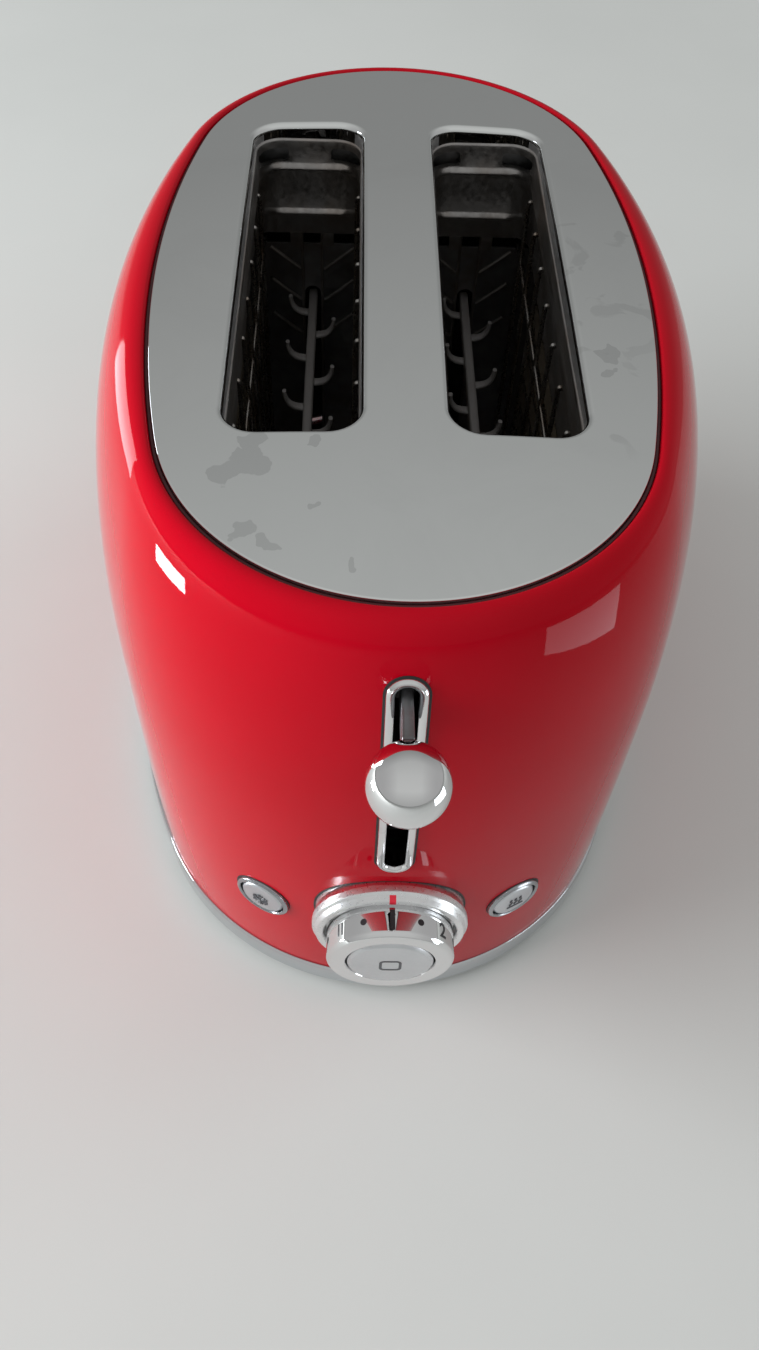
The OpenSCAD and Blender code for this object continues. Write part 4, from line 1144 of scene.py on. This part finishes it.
def ball_profile():
    """Outline of the ball and its short collar, from the tip to the collar's back."""
    pts = [(BALL_R * math.sin(t), BALL[1] - BALL_R * math.cos(t))
           for t in (math.radians(a) for a in np.linspace(0, 161, 64))]
    return pts + [(3.2, BALL[1] + 9.9), (3.0, BALL[1] + 10.3), (0, BALL[1] + 10.4)]


knob = Mesh()
lathe(knob, ball_profile(), BALL[2])
piece("lever_ball", knob, CHROME, 40, "carriage", "mirror_chrome",
      "lever_knob")

arm = Mesh()
block(arm, (-1.5, -149.5, 164), (1.5, -92, 172), 0.5)
piece("lever_stalk", arm, DARK_SHEET, 40, "carriage", "dark_steel", "lever_arm")

# ---------------------------------------------------------------- dial

DIAL_R = 19.1


def turned(name, profile, material_, body, slot, *nodes, sharp=35, segments=160):
    made = Mesh()
    lathe(made, profile, DIAL_Z, segments)
    return piece(name, made, material_, sharp, body, slot, *nodes)


BEZEL_PROFILE = fillet(
    [(9.4, -138.2), (9.4, -145.4), (19.6, -145.4), (19.6, -147.6), (20.4, -149.0), (22.2, -149.0),
     (22.9, -147.2), (23.6, -146.4), (23.6, -144.2), (22.6, -141.6), (22.6, -138.6)],
    [0, 0.3, 0.3, 0.3, 0.7, 0.8, 0.5, 0.8, 0.6, 0.3, 0], 6)
turned("dial_flange", BEZEL_PROFILE, SATIN, "root", "satin_chrome", "dial_bezel")

KNOB_PROFILE = fillet(
    [(4.3, -145.9), (8.0, -145.9), (8.0, -147.4), (18.7, -147.4), (19.1, -148.2), (19.1, -156.6),
     (18.0, -158.0), (13.6, -158.0), (13.25, -157.4), (13.25, -152.0), (4.3, -152.0)],
    [0, 0.2, 0.1, 0.4, 0.3, 1.3, 1.1, 0.3, 0.2, 0.1, 0], 8)
turned("dial_ring", KNOB_PROFILE, CHROME, "dial", "mirror_chrome", "dial_knob")

DIGIT_Y, DIGIT_STEP = -152.9, 2 * math.pi / 7


def glyph(text, size, thick, swell=0.0):
    """Points and faces of one character, centred on its own middle."""
    curve = bpy.data.curves.new("glyph", "FONT")
    curve.body, curve.size, curve.extrude, curve.offset = text, size, thick / 2, swell
    obj = bpy.data.objects.new("glyph", curve)
    bpy.context.scene.collection.objects.link(obj)
    bpy.context.view_layer.update()
    mesh = bpy.data.meshes.new_from_object(obj.evaluated_get(bpy.context.evaluated_depsgraph_get()))
    points = [tuple(v.co) for v in mesh.vertices]
    faces = [list(f.vertices) for f in mesh.polygons]
    mid = [(min(q[i] for q in points) + max(q[i] for q in points)) / 2 for i in range(2)]
    bpy.data.objects.remove(obj)
    bpy.data.curves.remove(curve)
    bpy.data.meshes.remove(mesh)
    return [(q[0] - mid[0], q[1] - mid[1], q[2]) for q in points], faces


def dial_marks():
    """Digits, half-step dots and a pair of dashes round the knob's side, their tops toward the body."""
    made = Mesh()

    def wrapped(points, turn):
        return [((DIAL_R + 0.04 + h) * math.sin(turn + u / DIAL_R), DIGIT_Y + v,
                 DIAL_Z + (DIAL_R + 0.04 + h) * math.cos(turn + u / DIAL_R)) for u, v, h in points]

    for k in range(6):
        points, faces = glyph(str(k + 1), 6.2 if k else 8.0, 0.06, 0.11 if k else 0.36)
        made.join(wrapped(points, k * DIGIT_STEP), faces)
    for k in range(7):
        disc = Mesh()
        disc.capped([[(u, v, h) for u, v in circle(1.0, 24)] for h in (-0.03, 0.03)])
        made.join(wrapped(disc.verts, (k + 0.5) * DIGIT_STEP), disc.faces)
    for u in (-0.8, 0.8):
        dash = Mesh()
        block(dash, (u - 0.3, -1.9, -0.03), (u + 0.3, 1.9, 0.03), 0.02)
        made.join(wrapped(dash.verts, 6 * DIGIT_STEP), dash.faces)
    return made


marks = dial_marks()
piece("dial_digits", marks, MARK_DARK, 40, "dial", "black_plastic")


POINTER_HALF_W = 0.95


def dial_pointer():
    """The red line across the flange's front, over the knob."""
    made = Mesh()
    path = [(r + 0.03, y - 0.07) for r, y in BEZEL_PROFILE if 19.7 < r < 22.95 and y < -147.0]
    x = POINTER_HALF_W
    made.capped([[(x, y, DIAL_Z + r), (-x, y, DIAL_Z + r),
                  (-x, y + 0.12, DIAL_Z + r - 0.05), (x, y + 0.12, DIAL_Z + r - 0.05)] for r, y in path])
    return made


pointer = dial_pointer()
piece("dial_pointer", pointer, MARK_RED, 40, "root", "red_mark",
      "dial_index")

STOP_PROFILE = fillet(
    [(0, -158.9), (6, -158.85), (12.0, -158.5), (12.9, -157.6), (12.9, -154.4), (2.3, -154.4), (2.3, -126.0),
     (0, -126.0)],
    [0, 30, 0.9, 0.6, 0.4, 0.3, 0.3, 0], 8)
turned("stop_cap", STOP_PROFILE, STOP_METAL, "stop", "satin_chrome", "stop_button")


def stop_symbol():
    """A rounded square, the general sign for stop, printed on the cap."""
    made = Mesh()
    rows = []
    for out, y in ((0.0, -158.7), (0.0, -158.94), (0.85, -158.94), (0.85, -158.7)):
        outline = rounded_rectangle(2.5 + out, 2.5 + out, 0.8 + out, (0, DIAL_Z), 6, 1.0)
        rows.append([(x, y, z) for x, z, _, _ in outline])
    made.grid(rows, closed_rows=True)
    return made


sign = stop_symbol()
piece("stop_sign", sign, MARK_GREY, 40, "stop", "black_plastic")


# ---------------------------------------------------------------- side buttons

def snow_strokes(size=2.9):
    """A six-pointed star with barbs."""
    strokes = []
    for k in range(6):
        t = math.pi / 6 + k * math.pi / 3
        c, n = np.array([math.cos(t), math.sin(t)]), np.array([-math.sin(t), math.cos(t)])
        if k < 3:
            strokes.append([tuple(-c * size), tuple(c * size)])
        for turn in (-1, 1):
            strokes.append([tuple(c * size * 0.55), tuple(c * size * 0.85 + n * turn * size * 0.3)])
    return strokes


def heat_strokes(size=2.6):
    """Three rising waves over a bar."""
    waves = [[(u + 0.42 * math.sin(v * 2.6), v) for v in np.linspace(-0.9, size, 12)]
             for u in (-1.7, 0.0, 1.7)]
    return waves + [[(-2.9, -2.1), (2.9, -2.1)]]


RING_PROFILE = fillet(
    [(7.75, -4), (7.75, 0.9), (8.2, 1.5), (9.2, 0.7), (9.2, -0.5), (8.4, -0.6), (8.4, -4)],
    [0, 0.4, 0.5, 0.5, 0.2, 0.1, 0], 6)
CAP_PROFILE = fillet(
    [(0, 1.75), (4, 1.7), (6.6, 1.3), (7.4, 0.4), (7.4, -3), (2, -3), (2, -6.6), (0, -6.6)],
    [0, 20, 1.2, 0.6, 0.2, 0.2, 0.2, 0], 8)


def on_cap(seat, u, v):
    """A place on a button cap's domed face."""
    centre, across, up, out = seat
    return centre + across * u + up * v + out * (1.72 - 0.004 * (u * u + v * v))


for (side, word), body, strokes in zip(SIDES, ("defrost", "reheat"), (snow_strokes(), heat_strokes())):
    seat = button_frame(side)
    made = Mesh()
    lathe_on(made, RING_PROFILE, seat)
    piece(word + "_button_ring", made, BUTTON_RING, 40, "root", "mirror_chrome", word + "_button_bezel")
    made = Mesh()
    lathe_on(made, CAP_PROFILE, seat)
    piece(body + "_cap", made, BUTTON_METAL, 40, body, "pale_plastic", body + "_button")
    made = Mesh()
    for stroke in strokes:
        tube(made, [on_cap(seat, u, v) for u, v in stroke], 0.34, 8)
    piece(body + "_sign", made, MARK_GREY, 60, body, "black_plastic")

# ---------------------------------------------------------------- springs and rods

SPRING_X, SPRING_Y, SPRING_Z = 37.0, -97.0, (110.4, 185.0)
SPRING_R, SPRING_WIRE, SPRING_TURNS = 3.0, 0.45, 17


def helix(mesh, x, y, z0, z1):
    """A coil spring with closed end turns."""
    path = []
    steps = SPRING_TURNS * 20
    for k in range(steps + 1):
        f = k / steps
        t = f * SPRING_TURNS * 2 * math.pi
        rise = np.interp(f, [0, 1.2 / SPRING_TURNS, 1 - 1.2 / SPRING_TURNS, 1], [0, 0.016, 0.984, 1])
        path.append((x + SPRING_R * math.cos(t), y + SPRING_R * math.sin(t),
                     z0 + SPRING_WIRE + (z1 - z0 - 2 * SPRING_WIRE) * rise))
    tube(mesh, path, SPRING_WIRE, 8)


coils = Mesh()
for side in (-1, 1):
    helix(coils, side * SPRING_X, SPRING_Y, *SPRING_Z)
coil_obj = outward(new_object("coil_springs", coils.verts, coils.faces, WIRE, 60))
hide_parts("return_springs")
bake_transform(coil_obj)

# ---------------------------------------------------------------- the other pieces

SOFTENED = {
    "left_side_bar": 0.9, "right_side_bar": 0.9, "tray_handle": 1.0, "feet": 0.8, "base_pan": 0.8,
    "cord_gland": 0.7, "crumb_tray": 0.25, "front_bulkhead": 0.2, "rear_bulkhead": 0.2, "board_posts": 0.5,
    "left_reflector": 0.2, "right_reflector": 0.2, "magnet_core": 0.6, "magnet_coil": 0.4,
    "control_board": 0.2, "board_parts": 0.6, "potentiometer": 0.5, "button_switches": 0.4,
    "mains_contacts": 0.15,
    "terminal_block": 0.7, "carriage_bracket": 0.3, "carriage_bushings": 0.5, "keeper_plate": 0.4,
    "guide_rods": 0.4, "base_screws": 0.4, "chassis_screws": 0.4, "dial_shaft": 0.3, "left_heater_board": 0.2,
    "centre_heater_board": 0.2, "right_heater_board": 0.2, "heating_ribbons": 0.08}
BODY_OF = {n: b for b, nodes in frame["record"]["behaviour"]["bodies"].items() for n in nodes}
SLOT_OF = {part["node"]: part["material_slot"] for part in frame["record"]["subparts"]}


def soften(name, width, angle=35.0):
    """The piece with every corner rounded, as pressed, moulded and turned parts have."""
    b = bmesh.new()
    b.from_mesh(frame["nodes"][name].data)
    bmesh.ops.remove_doubles(b, verts=b.verts, dist=1e-6)
    bmesh.ops.dissolve_limit(b, angle_limit=math.radians(0.6), verts=b.verts, edges=b.edges)
    corners = [e for e in b.edges if len(e.link_faces) == 2 and e.calc_face_angle(0) > math.radians(angle)]
    bmesh.ops.bevel(b, geom=corners, offset=width * MM, offset_type="OFFSET", segments=2, profile=0.5,
                    affect="EDGES", clamp_overlap=True)
    mesh = bpy.data.meshes.new(name + "_soft")
    b.to_mesh(mesh)
    b.free()
    obj = bpy.data.objects.new(name + "_soft", mesh)
    bpy.context.scene.collection.objects.link(obj)
    mesh.polygons.foreach_set("use_smooth", [True] * len(mesh.polygons))
    mesh.set_sharp_from_angle(angle=math.radians(50))
    mesh.materials.append(SLOT_MATERIALS[SLOT_OF[name]])
    return place(obj, BODY_OF[name], SLOT_OF[name], name)


for name, width in SOFTENED.items():
    soften(name, width)

dress_cad_nodes()

# ---------------------------------------------------------------- floor, light and camera


def stage():
    bpy.ops.mesh.primitive_plane_add(size=12, location=(0, 0, 0))
    floor = bpy.context.object
    floor.name = "floor"
    floor.data.materials.append(floor_material())


def area_light(name, location, target, size, energy, color):
    data = bpy.data.lights.new(name, "AREA")
    data.shape = "RECTANGLE"
    data.size, data.size_y = size
    data.energy, data.color = energy, color
    obj = bpy.data.objects.new(name, data)
    bpy.context.scene.collection.objects.link(obj)
    obj.location = location
    obj.visible_camera = False
    obj.rotation_euler = (Vector(target) - Vector(location)).to_track_quat("-Z", "Y").to_euler()
    return obj


# The studio's soft gradient: degrees from the horizon behind the object, over the top, to the one in front
STUDIO = [(0, 0.24), (24, 0.27), (46, 0.38), (62, 0.48), (100, 0.55), (140, 0.58), (180, 0.42)]
STUDIO_SIDE = (0.42, 0.42, 0.42)


def studio_light():
    """The world: one plain soft gradient over the top, evened out toward both sides."""
    world = bpy.data.worlds.new("studio")
    bpy.context.scene.world = world
    world.use_nodes = True
    coord = node(world, "ShaderNodeTexCoord")
    axes = node(world, "ShaderNodeSeparateXYZ")
    link(world, coord.outputs["Generated"], axes.inputs["Vector"])
    over = add(world, axes.outputs["Z"], axes.outputs["Y"], "ARCTAN2")
    ramp = node(world, "ShaderNodeValToRGB")
    link(world, add(world, over, math.pi, "DIVIDE"), ramp.inputs["Fac"])
    stops = ramp.color_ramp.elements
    while len(stops) < len(STUDIO):
        stops.new(1.0)
    for stop, (angle, level) in zip(stops, STUDIO):
        stop.position = angle / 180
        stop.color = (level, level * 1.012, level, 1)
    aside = ranged(world, add(world, axes.outputs["X"], 0.0, "ABSOLUTE"), 0.5, 0.95, 0, 1)
    background = world.node_tree.nodes["Background"]
    link(world, mix_colors(world, aside, ramp.outputs["Color"], STUDIO_SIDE), background.inputs["Color"])


# Soft boxes that only the gloss mirrors: name, place, size along the side and upright, and energy
SOFT_BOXES = [("left_box", (-0.42, 0.24, 0.16), (0.20, 0.20), 0.75),
              ("left_low_box", (-0.40, -0.10, 0.054), (0.11, 0.055), 1.0),
              ("right_box", (0.33, -0.25, 0.07), (0.215, 0.12), 0.26)]
# Soft lights that only light the surfaces: name, place, size and energy
SOFT_LIGHTS = [("daylight_left", (-1.6, -0.2, 0.52), (1.4, 0.9), 44),
               ("daylight_right", (1.3, 0.4, 0.7), (0.8, 0.8), 4.0),
               ("daylight_front", (-0.9, -1.4, 0.9), (1.2, 1.0), 2.2)]


def lighting():
    bpy.context.scene.view_settings.view_transform = "Standard"
    studio_light()
    for name, at, size, energy in SOFT_BOXES:
        target = (at[0] - math.copysign(1, at[0]), at[1], at[2])
        box = area_light(name, at, target, size, energy, (0.88, 0.94, 1))
        box.visible_diffuse = False
    for name, at, size, energy in SOFT_LIGHTS:
        soft = area_light(name, at, (0, 0, 0.1), size, energy, (0.97, 0.985, 1))
        soft.visible_glossy = False


CAMERA_AT = (-14.27, -291.06, 383.67)
CAMERA_YAW, CAMERA_PITCH, CAMERA_ROLL = 0.0423, 0.9232, 0.0486
SENSOR_MM, LENS_MM = 36.0, 30.0595
SHIFT_X, SHIFT_Y = 0.003215, -0.001141


def camera():
    """The camera's place and turn about the body's middle, found by a fit of the outlines."""
    cy, sy = math.cos(CAMERA_YAW), math.sin(CAMERA_YAW)
    cp, sp = math.cos(CAMERA_PITCH), math.sin(CAMERA_PITCH)
    cr, sr = math.cos(CAMERA_ROLL), math.sin(CAMERA_ROLL)
    forward = Vector((sy * cp, cy * cp, -sp))
    right = Vector((cy, -sy, 0))
    up = right.cross(forward)
    x_axis, y_axis = cr * right + sr * up, -sr * right + cr * up
    data = bpy.data.cameras.new("camera")
    obj = bpy.data.objects.new("camera", data)
    bpy.context.scene.collection.objects.link(obj)
    turn = Matrix((x_axis, y_axis, -forward)).transposed()
    obj.matrix_world = Matrix.Translation(
        Vector((CAMERA_AT[0], CAMERA_AT[1] + BODY_Y, CAMERA_AT[2])) * MM) @ turn.to_4x4()
    data.sensor_fit = "AUTO"
    data.sensor_width, data.lens = SENSOR_MM, LENS_MM
    data.shift_x, data.shift_y = SHIFT_X, SHIFT_Y
    data.clip_start = 0.01
    bpy.context.scene.camera = obj


stage()
lighting()
camera()
